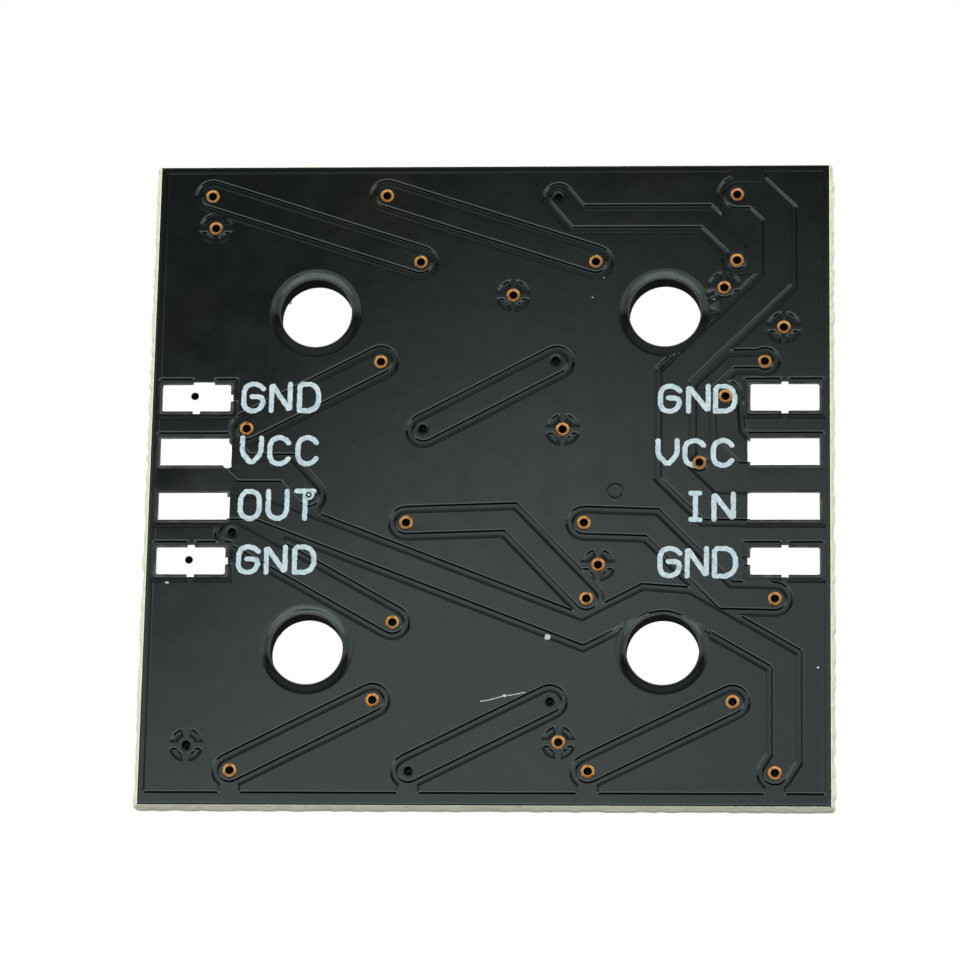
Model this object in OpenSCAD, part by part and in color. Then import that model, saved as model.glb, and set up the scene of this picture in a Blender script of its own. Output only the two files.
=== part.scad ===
// 4 x 4 matrix of square RGB LEDs on a small printed circuit board, lying on its LED faces.
// X runs along the board's long side, Y towards its top edge, Z up from the LED faces.

/* [Board] */
// Width of the printed face, between the scored edges
board_w = 30.32; // [30.2:0.02:33]
// Depth of the printed face, between the scored edges
board_d = 29.8; // [29.6:0.1:33]
// How far the middle of the holes and LEDs lies to the left of the middle of the board
pattern_shift = 0.06; // [0:0.01:0.06]
// Thickness of the glass-epoxy laminate without copper and mask
core_t = 1.04; // [0.8:0.02:1.5]
// Depth of the V score, from each face of the laminate
score_depth = 0.36; // [0.2:0.02:0.38]
// How far the snapped web stands out at the left and right edges
snap_side = 0.24; // [0.1:0.02:0.4]
// How far the snapped web stands out at the top and bottom edges
snap_end = 0.16; // [0.1:0.02:0.4]

/* [Mounting holes] */
// Diameter of a mounting hole, a clearance hole for an M3 screw
hole_d = 3.2; // [2.6:0.1:3.4]
// Spacing of the four mounting holes, along X and along Y
hole_pitch = 15.7; // [15.4:0.05:16]
// Bare ring between a mounting hole and the copper
hole_margin = 0.42; // [0.3:0.02:0.5]

/* [Copper] */
// Thickness of the copper foil with its plating
copper_t = 0.05; // [0.035:0.005:0.07]
// Width of a data track on the rear
track_w = 0.96; // [0.7:0.02:1]
// Width of the data input track, from its pad to the first LED
input_w = 1.2; // [0.9:0.02:1.3]
// Width of the data output track, from the last LED to its pad
output_w = 1; // [0.7:0.02:1]
// Width of the data track from the first LED to the second
second_w = 0.76; // [0.7:0.02:0.8]
// Width of the narrow data track that turns from the second row of LEDs to the third
turn_w = 0.54; // [0.5:0.02:0.6]
// Width of the etched groove that parts copper from copper
etch_gap = 0.3; // [0.22:0.01:0.34]
// Bare strip between the copper and the side edges
pour_side = 0.3; // [0.25:0.01:0.5]
// Bare strip between the copper and the top edge
pour_top = 0.32; // [0.25:0.01:0.5]
// Bare strip between the rear copper and the bottom edge
pour_bottom = 0.56; // [0.45:0.01:0.6]

/* [Solder mask] */
// Thickness of the mask over copper and laminate
mask_t = 0.03; // [0.02:0.005:0.04]
// Thickness of the mask on the side walls of the copper
mask_wall = 0.04; // [0.03:0.005:0.05]
// Gap between the edge of a soldering pad and the mask
mask_gap = 0.12; // [0.06:0.01:0.13]
// Bare rim between a mounting hole and the foot of the mask's sloping edge
hole_rim = 0.04; // [0.02:0.01:0.08]

/* [Vias] */
// Diameter of the drilled hole of a via
via_drill = 0.46; // [0.42:0.01:0.5]
// Thickness of the copper plated on the wall of a via
via_wall = 0.04; // [0.03:0.005:0.05]
// Diameter of the bare copper ring round a via
via_ring_d = 0.6; // [0.58:0.01:0.66]
// Inner diameter of the broken groove round a via that joins the copper plane
relief_d = 0.86; // [0.8:0.02:0.92]
// Width of the spokes that cross such a groove
spoke_w = 0.32; // [0.26:0.01:0.36]
// Diameter of the copper land round a via on the front
land_d = 0.72; // [0.66:0.01:0.76]

/* [Soldering pads] */
// Spacing of the soldering pads along an edge
pad_pitch = 2.54; // [2.5:0.01:2.6]
// Length of a soldering pad
pad_l = 3.08; // [2.8:0.02:3.2]
// Width of a soldering pad
pad_w = 1.26; // [1.2:0.02:1.4]
// Radius of the corners of a soldering pad
pad_corner = 0.1; // [0.05:0.01:0.2]
// Distance from the input pads to the right edge of the face
input_inset = 0.46; // [0.34:0.01:0.5]
// Distance from the output pads to the left edge of the face
output_inset = 0.44; // [0.42:0.01:0.5]
// Thickness of the tin on a soldering pad
tin_t = 0.03; // [0.02:0.005:0.04]
// Diameter of the vias drilled in two of the left pads
pad_via_d = 0.34; // [0.28:0.01:0.36]

/* [LEDs] */
// Spacing of the LEDs, along X and along Y
led_pitch = 7.85; // [7.7:0.05:8]
// Side of the square LED housing
led_size = 5; // [4.9:0.02:5.1]
// Height of the LED housing
led_h = 1.57; // [1.5:0.01:1.7]
// Diameter of the round window at the face of the LED
window_d = 4.1; // [3.9:0.02:4.3]
// Diameter of the window at the bottom of its cup
window_floor_d = 3.5; // [3.3:0.02:3.7]
// Depth of the cup that the window fills
cup_depth = 0.85; // [0.75:0.01:0.95]
// How far the window stays below the rim of its cup
window_sink = 0.03; // [0.02:0.01:0.06]
// Length of the cut corner that marks the ground lead
corner_cut = 0.7; // [0.5:0.05:0.9]

/* [LED leads] */
// Thickness of the sheet that the leads are stamped from
lead_t = 0.15; // [0.12:0.01:0.18]
// Width of a lead outside the housing
lead_w = 0.9; // [0.8:0.02:1]
// Spacing of the two leads on one side of a housing
lead_pitch = 3.2; // [3.1:0.02:3.3]
// How far a lead stands out of the side of the housing
lead_out = 0.2; // [0.18:0.01:0.25]
// Length of the lead's foot under the housing
lead_foot = 0.7; // [0.6:0.02:0.8]
// How far the foot stands out below the housing
foot_drop = 0.04; // [0.03:0.005:0.06]
// Distance from the middle of the LED to the inner ends of its leads
lead_reach = 0.9; // [0.86:0.02:1]
// Gap between a lead and the plate that the chips sit on
plate_gap = 0.2; // [0.16:0.02:0.24]
// Width of the plastic round the window that covers the ends of the plate
plate_margin = 0.9; // [0.8:0.02:1]

/* [Front tracks and joints] */
// Width of a track on the front
front_w = 0.42; // [0.36:0.02:0.46]
// Width of a lead's pad
lead_pad_w = 1; // [0.96:0.02:1.1]
// How far a lead's pad reaches past the lead
pad_toe = 0.34; // [0.3:0.02:0.4]
// How far a capacitor's pad reaches past its end
cap_toe = 0.28; // [0.24:0.02:0.32]
// How far a pad reaches past the inner end and the sides of what stands on it
pad_heel = 0.05; // [0.04:0.005:0.06]
// Thickness of the solder between a foot and its pad
solder_t = 0.06; // [0.05:0.005:0.08]

/* [Chips] */
// Length of the driver chip in each LED
driver_l = 0.9; // [0.8:0.02:1]
// Width of the driver chip in each LED
driver_w = 0.7; // [0.6:0.02:0.8]
// Thickness of the driver chip
driver_t = 0.16; // [0.12:0.01:0.2]
// Side of each of the red, green and blue emitter chips
emitter_size = 0.28; // [0.24:0.01:0.32]
// Thickness of an emitter chip
emitter_t = 0.1; // [0.08:0.01:0.14]
// Spacing of the three emitter chips
emitter_pitch = 0.53; // [0.5:0.01:0.56]

/* [Capacitors] */
// Length of a capacitor, over its metal ends
cap_l = 1.6; // [1.4:0.02:1.7]
// Width of a capacitor
cap_w = 0.8; // [0.7:0.02:0.9]
// Height of a capacitor
cap_h = 0.8; // [0.7:0.02:0.9]
// Length of each metal end of a capacitor
cap_end = 0.34; // [0.28:0.02:0.4]
// How far the metal ends stand proud of the ceramic
cap_lip = 0.02; // [0.01:0.01:0.03]

/* [Hidden] */
GRID = 4;
LEDS = GRID * GRID;
LED_NAMES = [for (n = [1:LEDS]) str("led_housing_", n < 10 ? "0" : "", n)];
WINDOW_NAMES = [for (n = [1:LEDS]) str("led_window_", n < 10 ? "0" : "", n)];
CAP_NAMES = [for (n = [1:LEDS]) str("capacitor_", n < 10 ? "0" : "", n)];
$fn = 48;

// Heights, from the LED faces up to the rear face of the board
led_back_z = led_h;
foot_z = led_back_z + foot_drop;
front_copper_z = foot_z + solder_t;
core_z = front_copper_z + copper_t;
core_top_z = core_z + core_t;
rear_copper_top_z = core_top_z + copper_t;
cup_floor_z = cup_depth;
mask_full_t = copper_t + mask_t;

// Half sizes of the copper planes
plane_x = board_w / 2 - pour_side;
plane_top = board_d / 2 - pour_top;
plane_bottom = board_d / 2 - pour_bottom;
// The narrowest strip that is left standing beside a mounting hole
sliver = 0.2;
// A second spoke above the upper left pad: its place beside the middle one and its width
extra_spoke_place = 0.61;
extra_spoke_w = 0.38;
// How far a cutting shape reaches past what it cuts
past = 1;

// Soldering pads: side is -1 for the output pads on the left, 1 for the input pads on the right
function pad_inset(side) = side > 0 ? input_inset : output_inset;
function pad_x(side) = board_w / 2 - pad_inset(side) - pad_l / 2;
PADS = 4;
function pad_y(n) = (1.5 - n) * pad_pitch;
function is_ground(n) = n == 0 || n == 3;

// Places on the board, given from the middle of the LED in a column and row
function led_x(column) = (column - (GRID - 1) / 2) * led_pitch - pattern_shift;
function led_y(row) = ((GRID - 1) / 2 - row) * led_pitch;
function at(column, row, dx, dy) = [led_x(column) + dx, led_y(row) + dy];
function by_pad(side, n, dx, dy) = [side * (pad_x(side) + dx), pad_y(n) + dy];

// Pads of the LED leads and of the capacitors, on the front
lead_pad_l = lead_foot + lead_out + pad_toe + pad_heel;
lead_pad_x = led_size / 2 + lead_out + pad_toe - lead_pad_l / 2;
cap_pad_l = cap_end + cap_toe + pad_heel;
cap_pad_x = cap_l / 2 + cap_toe - cap_pad_l / 2;
cap_pad_w = cap_w + 2 * pad_heel;
UL = [-1, 1];
UR = [1, 1];
LR = [1, -1];
LL = [-1, -1];
function corner(column, row, c) = at(column, row, c[0] * lead_pad_x, c[1] * lead_pitch / 2);

// Middles of the driver chip and of the row of emitter chips, from the middle of the LED
DRIVER_PLACE = [0.5, -0.35];
EMITTER_PLACE = [-0.35, 0.52];

// Data vias, where a track on the rear takes over from the front, in the order of the data
V_IN = at(3, 0, -0.7, 1.7);
V_1 = at(3, 0, -0.7, -1.45);
V_2 = at(2, 0, -0.93, 1.61);
V_3 = at(2, 0, 0.8, -1.5);
V_4 = at(1, 0, -0.85, 1.7);
V_5 = at(1, 0, 0.75, -1.5);
V_6 = at(0, 0, -0.95, 1.7);
V_7 = at(0, 1, 0.95, -1.55);
V_8 = at(1, 1, -0.95, 1.6);
V_9 = at(1, 1, 1, -1.55);
V_10 = at(2, 1, -0.95, 1.65);
V_11 = at(3, 2, 1, -1.6);
V_12 = at(2, 2, 0.4, 1.9);
V_13 = at(2, 2, 0.55, -1.6);
V_14 = at(1, 2, 0.35, 1.9);
V_15 = at(1, 2, -0.15, -2.7);
V_16 = at(0, 2, 0.45, 1.45);
V_17 = at(0, 3, 0.7, -1.6);
V_18 = at(1, 3, -0.95, 1.6);
V_19 = at(1, 3, 0.7, -1.6);
V_20 = at(2, 3, -1, 1.55);
V_21 = at(2, 3, 0.7, -1.6);
V_22 = at(3, 3, -0.85, 1.55);
V_OUT = at(3, 3, 1, -1.65);

V_TURN = at(3, 1, 0.55, 1.6);
V_RETURN = at(3, 1, -2.35, -3.15);

// Supply vias
V_SUPPLY_IN = at(3, 1, -1.2, -0.05);
V_SUPPLY_OUT = at(0.5, 1.5, -0.1, -0.75);

OPEN_VIAS = [
    V_IN, V_1, V_3, V_4, V_5, V_6, V_7, V_8, V_11, V_12, V_13, V_14, V_15, V_17, V_18, V_21,
    V_22, V_OUT, V_TURN, V_RETURN, V_SUPPLY_IN];
CLOSED_VIAS = [V_2, V_9, V_10, V_16, V_19, V_20, V_SUPPLY_OUT];

// Ground vias, which join the rear plane over four spokes
G_1 = at(0, 0, -0.75, 0.15);
G_2 = at(2, 0, -2.9, -3.1);
G_3 = at(3, 0, -1.27, -2.76);
G_4 = at(3, 1, 1.4, 3.2);
G_5 = at(2, 1, -0.6, -1.6);
G_6 = at(2, 2, 1.05, -0.05);
G_7 = at(2, 3, -0.6, -0.3);
G_8 = at(0, 3, -1.25, -0.45);
OPEN_RELIEFS = [G_1, G_2, G_3, G_4, G_5, G_6, G_7];
CLOSED_RELIEFS = [G_8];
RELIEFS = concat(OPEN_RELIEFS, CLOSED_RELIEFS);

// Ground vias drilled in the left soldering pads
G_PAD_TOP = by_pad(-1, 0, 0.08, 0.09);
G_PAD_BOTTOM = by_pad(-1, 3, 0.08, 0.05);
PAD_VIAS = [G_PAD_TOP, G_PAD_BOTTOM];
BOARD_VIAS = concat(OPEN_VIAS, CLOSED_VIAS, RELIEFS);
// Vias on narrow tracks, which have a round land on the rear too
REAR_LANDS = [V_1, V_TURN, V_RETURN];
FRONT_LANDS = [for (v = concat(BOARD_VIAS, PAD_VIAS)) if (v != V_SUPPLY_IN && v != V_SUPPLY_OUT) v];

// Rear tracks, each with its width and the points of its centre line
INPUT_ROUTE = [
    by_pad(1, 2, 0, 0), at(3, 1, -1.88, -5.18), at(3, 1, -3.43, -3.63), at(3, 1, -3.43, 0.92),
    at(3, 0, 1.1, -2.4), at(3, 0, 1.1, 0.73), at(3, 0, 0.13, 1.7), V_IN];
OUTPUT_ROUTE = [
    by_pad(-1, 2, 0, -0.04), at(0, 1.5, 1.6, -1.36), at(2, 2, 0.4, -3.15), at(3, 2, -4.7, -1.7),
    at(3, 2, -2.95, -1.83), at(3, 2, 1.4, -4.4), at(3, 3, 1.4, -1), V_OUT];
SUPPLY_OUT_ROUTE = [
    by_pad(-1, 1, 0, 0), by_pad(-1, 1, -1.3, 0), at(0, 1.5, 0.84, 0.41), at(0, 1.5, 2.78, 0.41),
    V_SUPPLY_OUT];
SUPPLY_IN_ROUTE = [
    by_pad(1, 1, 0, 0), by_pad(1, 1, -1.8, 0), at(3, 1, -1.05, -1.9), V_SUPPLY_IN];
SECOND_ROUTE = [
    V_2, at(2, 0, -0.07, 0.56), at(3, 0, -2.14, 0.56), at(3, 0, -0.7, -0.89), V_1];
TRACKS = [
    [input_w, INPUT_ROUTE],
    [output_w, OUTPUT_ROUTE],
    [track_w, SUPPLY_OUT_ROUTE],
    [second_w, SECOND_ROUTE],
    [track_w, [V_4, V_3]],
    [track_w, [V_6, V_5]],
    [track_w, [V_7, V_8]],
    [track_w, [V_9 + [0.04, -0.08], V_10 + [0.04, -0.08]]],
    [track_w, [V_12, at(3, 2, -4.45, 1.8), at(3, 2, -1.2, -1.55), V_11]],
    [track_w, [V_14, at(2, 2, -2.9, 2.05), V_13]],
    [track_w, [V_16, V_15]],
    [track_w, [V_17, V_18]],
    [track_w, [V_19, V_20]],
    [track_w, [V_21, V_22]],
    [turn_w, [V_TURN, at(3, 1, -0.93, 1.6), at(3, 1, -2.2, 0.36), at(3, 1, -2.2, -2.8), V_RETURN]],
    [track_w, SUPPLY_IN_ROUTE]];

// Areas etched bare, where the ground plane would be cut off or too narrow between two tracks.
// Each runs along the middles of the tracks beside it; shrink draws in the ends that meet copper.
function bare_areas(shrink) = let (
    beyond = pad_l / 2 + etch_gap,
    tip = led_x(1) - 3.47 - shrink,
    wedge = led_x(0) + 2.87 - shrink,
    join = led_x(3) - 1.47 + shrink,
    strip = [led_x(3) - 1 + shrink, led_x(3) + 0.6 - shrink],
    under = V_1[1] - 0.62 + shrink,
    tip_y = led_y(0) - 2.88 - shrink) [
    concat(SUPPLY_OUT_ROUTE, [
        [tip, V_SUPPLY_OUT[1] - 0.45], [tip, V_SUPPLY_OUT[1] - 1.7], OUTPUT_ROUTE[1], OUTPUT_ROUTE[0],
        by_pad(-1, 2, beyond, 0), by_pad(-1, 1, beyond, 0)]),
    [V_16, OUTPUT_ROUTE[1], [wedge, V_16[1] + 0.6], [wedge, V_16[1] - 1.38]],
    [V_RETURN, [V_RETURN[0] + 0.55, SUPPLY_IN_ROUTE[2][1]], SUPPLY_IN_ROUTE[2], SUPPLY_IN_ROUTE[1],
        SUPPLY_IN_ROUTE[0], by_pad(1, 1, beyond, 0), by_pad(1, 2, beyond, 0), INPUT_ROUTE[0],
        INPUT_ROUTE[1], INPUT_ROUTE[2]],
    [V_IN, [join, led_y(0) + 1.33], [join, led_y(0) + 0.72], SECOND_ROUTE[3], V_1,
        [V_1[0] + 0.12, under], [V_1[0] + 1.6, under], INPUT_ROUTE[5], INPUT_ROUTE[6]],
    [V_IN, [strip[0], V_IN[1] + 0.6], [strip[0], board_d / 2], [strip[1], board_d / 2],
        [strip[1], V_IN[1] + 0.65], INPUT_ROUTE[6]],
    [[led_x(3) - 2.47, tip_y], [led_x(3) + 0.62, tip_y], [led_x(3) - 0.87, led_y(0) - 4.37],
        [led_x(3) - 2.47, led_y(0) - 4.37]]];

SIGNAL_PADS = [for (side = [-1, 1], n = [1, 2]) [by_pad(side, n, 0, 0), [pad_l, pad_w]]];

// One LED is turned round, where the data passes from the second row to the third
function is_turned(column, row) = column == GRID - 1 && row == 1;
function supply_corner(column, row) = is_turned(column, row) ? LL : UR;

// Capacitors: twelve between the rows, lying along X, and four between the middle columns, along Y
CAPS = concat(
    [for (row = [0:GRID - 2], column = [0:GRID - 1]) [at(column, row + 0.5, 0, 0), false]],
    [for (row = [0:GRID - 1]) [at(1.5, row, 0, 0), true]]);
function cap_pad(cap, end) = cap[0] + end * cap_pad_x * (cap[1] ? [0, 1] : [1, 0]);
function cap_pad_size(cap) = cap[1] ? [cap_pad_w, cap_pad_l] : [cap_pad_l, cap_pad_w];

// A track from a to b that runs along Y first and then at 45 degrees
function bent(a, b) = [a, [a[0], b[1] + abs(b[0] - a[0]) * sign(a[1] - b[1])], b];
// A track from a to b that starts at 45 degrees and then runs along X
function levelled(a, b) = [a, [a[0] + abs(b[1] - a[1]) * sign(b[0] - a[0]), b[1]], b];

DATA_LINKS = [
    [corner(3, 0, UL), V_IN], [corner(3, 0, LR), V_1], [corner(2, 0, UL), V_2],
    [corner(2, 0, LR), V_3], [corner(1, 0, UL), V_4], [corner(1, 0, LR), V_5],
    [corner(0, 0, UL), V_6], [corner(0, 1, LR), V_7], [corner(1, 1, UL), V_8],
    [corner(1, 1, LR), V_9], [corner(2, 1, UL), V_10], [corner(3, 1, UL), V_TURN],
    [corner(3, 2, UL), V_RETURN], [corner(3, 2, LR), V_11], [corner(2, 2, UL), V_12],
    [corner(2, 2, LR), V_13], [corner(1, 2, UL), V_14], [corner(1, 2, LR), V_15],
    [corner(0, 2, UL), V_16], [corner(0, 3, LR), V_17], [corner(1, 3, UL), V_18],
    [corner(1, 3, LR), V_19], [corner(2, 3, UL), V_20], [corner(2, 3, LR), V_21],
    [corner(3, 3, UL), V_22], [corner(3, 3, LR), V_OUT],
    [corner(2, 1, LR), at(3, 1, -3.9, -2.45), at(3, 1, 1.5, -2.45), corner(3, 1, LR)]];
// Data passes down the left column twice, between the mounting hole and a capacitor
ROW_LINKS = [for (row = [0, 2]) [
    corner(0, row, LR), at(0, row, 1.65, -2.45), at(0, row + 1, 1.65, 3.5), at(0, row + 1, 1.2, 3.05),
    at(0, row + 1, -1.9, 3.05), at(0, row + 1, -lead_pad_x, 2.5), corner(0, row + 1, UL)]];
GROUND_LINKS = [
    [corner(0, 0, LL), G_1], levelled(corner(1, 0, LL), G_1), [corner(2, 0, LL), G_2],
    [corner(3, 0, LL), G_3], [corner(0, 1, LL), G_PAD_TOP], levelled(corner(1, 1, LL), G_PAD_TOP),
    [corner(2, 1, LL), G_5], [corner(3, 1, UR), G_4], [corner(0, 2, LL), G_PAD_BOTTOM],
    levelled(corner(1, 2, LL), G_PAD_BOTTOM), levelled(corner(2, 2, LL), G_6),
    levelled(corner(3, 2, LL), G_6), [corner(0, 3, LL), G_8], levelled(corner(1, 3, LL), G_8),
    levelled(corner(2, 3, LL), G_7), levelled(corner(3, 3, LL), G_7)];
CAP_LINKS = concat(
    [for (row = [0:GRID - 2], column = [0:GRID - 1]) if (!is_turned(column, row))
        bent(corner(column, row, LL), cap_pad([at(column, row + 0.5, 0, 0), false], -1))],
    [for (row = [0:GRID - 1])
        levelled(cap_pad([at(1.5, row, 0, 0), true], -1), corner(2, row, LL))],
    [[cap_pad([at(3, 1.5, 0, 0), false], -1), at(3, 2, -cap_pad_x, -0.7), at(3, 2, -1.6, -1.55),
        corner(3, 2, LL)]]);
FRONT_TRACKS = [for (link = concat(DATA_LINKS, ROW_LINKS, GROUND_LINKS, CAP_LINKS)) [front_w, link]];
ISLAND_PADS = concat(
    [for (row = [0:GRID - 1], column = [0:GRID - 1], c = [UL, UR, LR, LL])
        if (c != supply_corner(column, row)) [corner(column, row, c), [lead_pad_l, lead_pad_w]]],
    [for (cap = CAPS) [cap_pad(cap, -1), cap_pad_size(cap)]]);
SUPPLY_PADS = concat(
    [for (row = [0:GRID - 1], column = [0:GRID - 1])
        [corner(column, row, supply_corner(column, row)), [lead_pad_l, lead_pad_w]]],
    [for (cap = CAPS) [cap_pad(cap, 1), cap_pad_size(cap)]]);

// Outline of a track of half width h along points, with mitred bends and round ends
function unit(v) = v / norm(v);
function left_of(v) = [-v[1], v[0]];
function mitre(points, n, h) = let (
    last = len(points) - 1,
    before = unit(points[max(n, 1)] - points[max(n, 1) - 1]),
    after = unit(points[min(n, last - 1) + 1] - points[min(n, last - 1)]),
    across = unit(left_of(before) + left_of(after))) across * h / (across * left_of(before));
function half_round(centre, ahead, h) = let (
    side = left_of(unit(ahead))) [for (turn = [20:20:160])
    centre + h * (side * cos(turn) + unit(ahead) * sin(turn))];
function track_outline(points, h) = let (last = len(points) - 1) concat(
    [for (n = [0:last]) points[n] + mitre(points, n, h)],
    half_round(points[last], points[last] - points[last - 1], h),
    [for (n = [last:-1:0]) points[n] - mitre(points, n, h)],
    half_round(points[0], points[0] - points[1], h));

module track(route, half_width) {
    polygon(track_outline(route, half_width));
}

module at_holes() {
    for (x = [-1, 1], y = [-1, 1])
        translate([x * hole_pitch / 2 - pattern_shift, y * hole_pitch / 2])
            children();
}

// The mask ends round each mounting hole in a slope of 45 degrees
module mask_holes() {
    foot_r = hole_d / 2 + hole_rim;
    at_holes()
        translate([0, 0, -past])
            cylinder(h = 2 * past, r1 = foot_r - past, r2 = foot_r + past);
}

module at_points(points) {
    for (p = points)
        translate(p)
            children();
}

module face_outline() {
    square([board_w, board_d], center = true);
}

// A soldering pad with rounded corners, grown by grow on every side
module pad_shape(grow) {
    size = [pad_l, pad_w] + 2 * grow * [1, 1];
    middle = size / 2 - pad_corner * [1, 1];
    square(size - 2 * [pad_corner, 0], center = true);
    square(size - 2 * [0, pad_corner], center = true);
    for (x = [-1, 1], y = [-1, 1])
        translate([x * middle[0], y * middle[1]])
            circle(r = pad_corner);
}

// Bare laminate round a soldering pad, with the spokes that join a ground pad to its plane
module pad_moat(side, n, shrink) {
    reach = etch_gap - shrink;
    difference() {
        translate(by_pad(side, n, 0, 0))
            square([pad_l + 2 * reach, pad_w + 2 * reach], center = true);
        translate(by_pad(side, n, 0, 0))
            pad_shape(shrink);
        if (is_ground(n))
            translate(by_pad(side, n, 0, 0))
                square([spoke_w + 2 * shrink, pad_w + 4 * etch_gap], center = true);
        if (is_ground(n) && !(side > 0 && n == 0))
            translate(by_pad(side, n, -pad_l / 2, 0))
                square([4 * etch_gap, spoke_w + 2 * shrink], center = true);
        if (side < 0 && n == 0)
            translate(by_pad(side, n, -extra_spoke_place, pad_w / 2))
                square([extra_spoke_w + 2 * shrink, 2 * etch_gap + pad_corner], center = true);
    }
}

// Groove round a ground via, broken by four spokes
module relief_groove(shrink) {
    difference() {
        circle(d = relief_d + 2 * etch_gap - 2 * shrink);
        circle(d = relief_d + 2 * shrink);
        square([spoke_w + 2 * shrink, relief_d * 3], center = true);
        square([relief_d * 3, spoke_w + 2 * shrink], center = true);
    }
}

// Rectangular pads, each grown by grow on every side
module pad_shapes(pads, grow) {
    for (pad = pads)
        translate(pad[0])
            square(pad[1] + 2 * grow * [1, 1], center = true);
}

// Grooves etched round the tracks, pads, via lands and mounting holes of one face
module etched_face(tracks, pads, lands, bare, shrink) {
    difference() {
        union() {
            for (area = bare)
                difference() {
                    polygon(area);
                    at_points(OPEN_RELIEFS)
                        circle(d = relief_d + 2 * shrink);
                }
            for (t = tracks)
                track(t[1], t[0] / 2 + etch_gap - shrink);
            at_holes()
                circle(d = hole_d + 2 * hole_margin - 2 * shrink);
            at_points(lands)
                circle(d = land_d + 2 * etch_gap - 2 * shrink);
            pad_shapes(pads, etch_gap - shrink);
        }
        difference() {
            union() {
                for (t = tracks)
                    track(t[1], t[0] / 2 + shrink);
                at_points(lands)
                    circle(d = land_d + 2 * shrink);
                pad_shapes(pads, shrink);
            }
            at_holes()
                circle(d = hole_d + 2 * sliver - 2 * shrink);
        }
    }
}

// Rear copper: the ground plane, the tracks and the soldering pads, grown by grow on every side
module rear_copper_outline(grow) {
    difference() {
        translate([-plane_x - grow, -plane_bottom - grow])
            square([2 * plane_x, plane_bottom + plane_top] + 2 * grow * [1, 1]);
        etched_face(TRACKS, SIGNAL_PADS, REAR_LANDS, bare_areas(grow), grow);
        for (side = [-1, 1], n = [0, PADS - 1])
            pad_moat(side, n, grow);
        at_points(RELIEFS)
            relief_groove(grow);
        at_points([V_17, V_19, V_21, V_OUT])
            translate([grow - track_w / 2, -track_w * 1.5])
                square([track_w - 2 * grow, track_w]);
    }
}

// Front copper: the supply plane, the tracks and the pads of LEDs and capacitors
module front_copper_outline(grow) {
    difference() {
        translate([-plane_x - grow, -plane_top - grow])
            square([plane_x, plane_top] * 2 + 2 * grow * [1, 1]);
        etched_face(FRONT_TRACKS, ISLAND_PADS, FRONT_LANDS, [], grow);
    }
}

module via_holes() {
    at_points(BOARD_VIAS)
        circle(d = via_drill);
    at_points(PAD_VIAS)
        circle(d = pad_via_d + 2 * via_wall);
}

module solder_pad_openings(side) {
    for (n = [0:PADS - 1])
        translate(by_pad(side, n, 0, 0))
            pad_shape(mask_gap);
}

// Glass-epoxy board, scored with a V from both faces along its edges and snapped out
module score_profile(width, snap, length) {
    rotate([90, 0, 0])
        linear_extrude(length, center = true)
            polygon([
                [-width / 2, core_z], [width / 2, core_z],
                [width / 2 + snap, core_z + score_depth],
                [width / 2 + snap, core_top_z - score_depth],
                [width / 2, core_top_z], [-width / 2, core_top_z],
                [-width / 2 - snap, core_top_z - score_depth],
                [-width / 2 - snap, core_z + score_depth]]);
}

module laminate() {
    color("darkkhaki")
        difference() {
            intersection() {
                score_profile(board_w, snap_side, board_d * 2);
                rotate(90)
                    score_profile(board_d, snap_end, board_w * 2);
            }
            translate([0, 0, core_z - past])
                linear_extrude(core_t + 2 * past) {
                    at_holes()
                        circle(d = hole_d);
                    via_holes();
                }
        }
}

module rear_copper() {
    color("chocolate")
        translate([0, 0, core_top_z])
            linear_extrude(copper_t)
                difference() {
                    rear_copper_outline(0);
                    via_holes();
                }
}

module front_copper() {
    color("chocolate")
        translate([0, 0, front_copper_z])
            linear_extrude(copper_t)
                difference() {
                    front_copper_outline(0);
                    via_holes();
                }
}

// Lacquer that lies over the copper and dips into each groove between its tracks
module rear_solder_mask() {
    color([0.1, 0.12, 0.12])
        translate([0, 0, core_top_z])
            difference() {
                union() {
                    linear_extrude(mask_t)
                        face_outline();
                    linear_extrude(mask_full_t)
                        rear_copper_outline(mask_wall);
                }
                translate([0, 0, -past])
                    linear_extrude(past + copper_t)
                        rear_copper_outline(0);
                mask_holes();
                translate([0, 0, -past])
                    linear_extrude(mask_full_t + 2 * past) {
                        at_points(OPEN_VIAS)
                            circle(d = via_ring_d);
                        at_points(OPEN_RELIEFS)
                            circle(d = via_ring_d);
                        solder_pad_openings(-1);
                        solder_pad_openings(1);
                    }
            }
}

module front_solder_mask() {
    color([0.1, 0.12, 0.12])
        translate([0, 0, core_z])
            mirror([0, 0, 1])
                difference() {
                    union() {
                        linear_extrude(mask_t)
                            face_outline();
                        linear_extrude(mask_full_t)
                            front_copper_outline(mask_wall);
                    }
                    translate([0, 0, -past])
                        linear_extrude(past + copper_t)
                            front_copper_outline(0);
                    mask_holes();
                    translate([0, 0, -past])
                        linear_extrude(mask_full_t + 2 * past)
                            pad_shapes(concat(ISLAND_PADS, SUPPLY_PADS), -mask_wall);
                }
}

// Copper plated on the wall of each drilled via
module via_barrels() {
    color("orange")
        translate([0, 0, front_copper_z])
            linear_extrude(rear_copper_top_z - front_copper_z) {
                at_points(BOARD_VIAS)
                    difference() {
                        circle(d = via_drill);
                        circle(d = via_drill - 2 * via_wall);
                    }
                at_points(PAD_VIAS)
                    difference() {
                        circle(d = pad_via_d + 2 * via_wall);
                        circle(d = pad_via_d);
                    }
            }
}

// Tin on the four soldering pads of one side, where the mask leaves the copper bare
module pad_tin(side) {
    color("whitesmoke")
        translate([0, 0, rear_copper_top_z])
            linear_extrude(tin_t)
                difference() {
                    intersection() {
                        solder_pad_openings(side);
                        rear_copper_outline(0);
                    }
                    at_points(PAD_VIAS)
                        circle(d = pad_via_d);
                }
}

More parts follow.
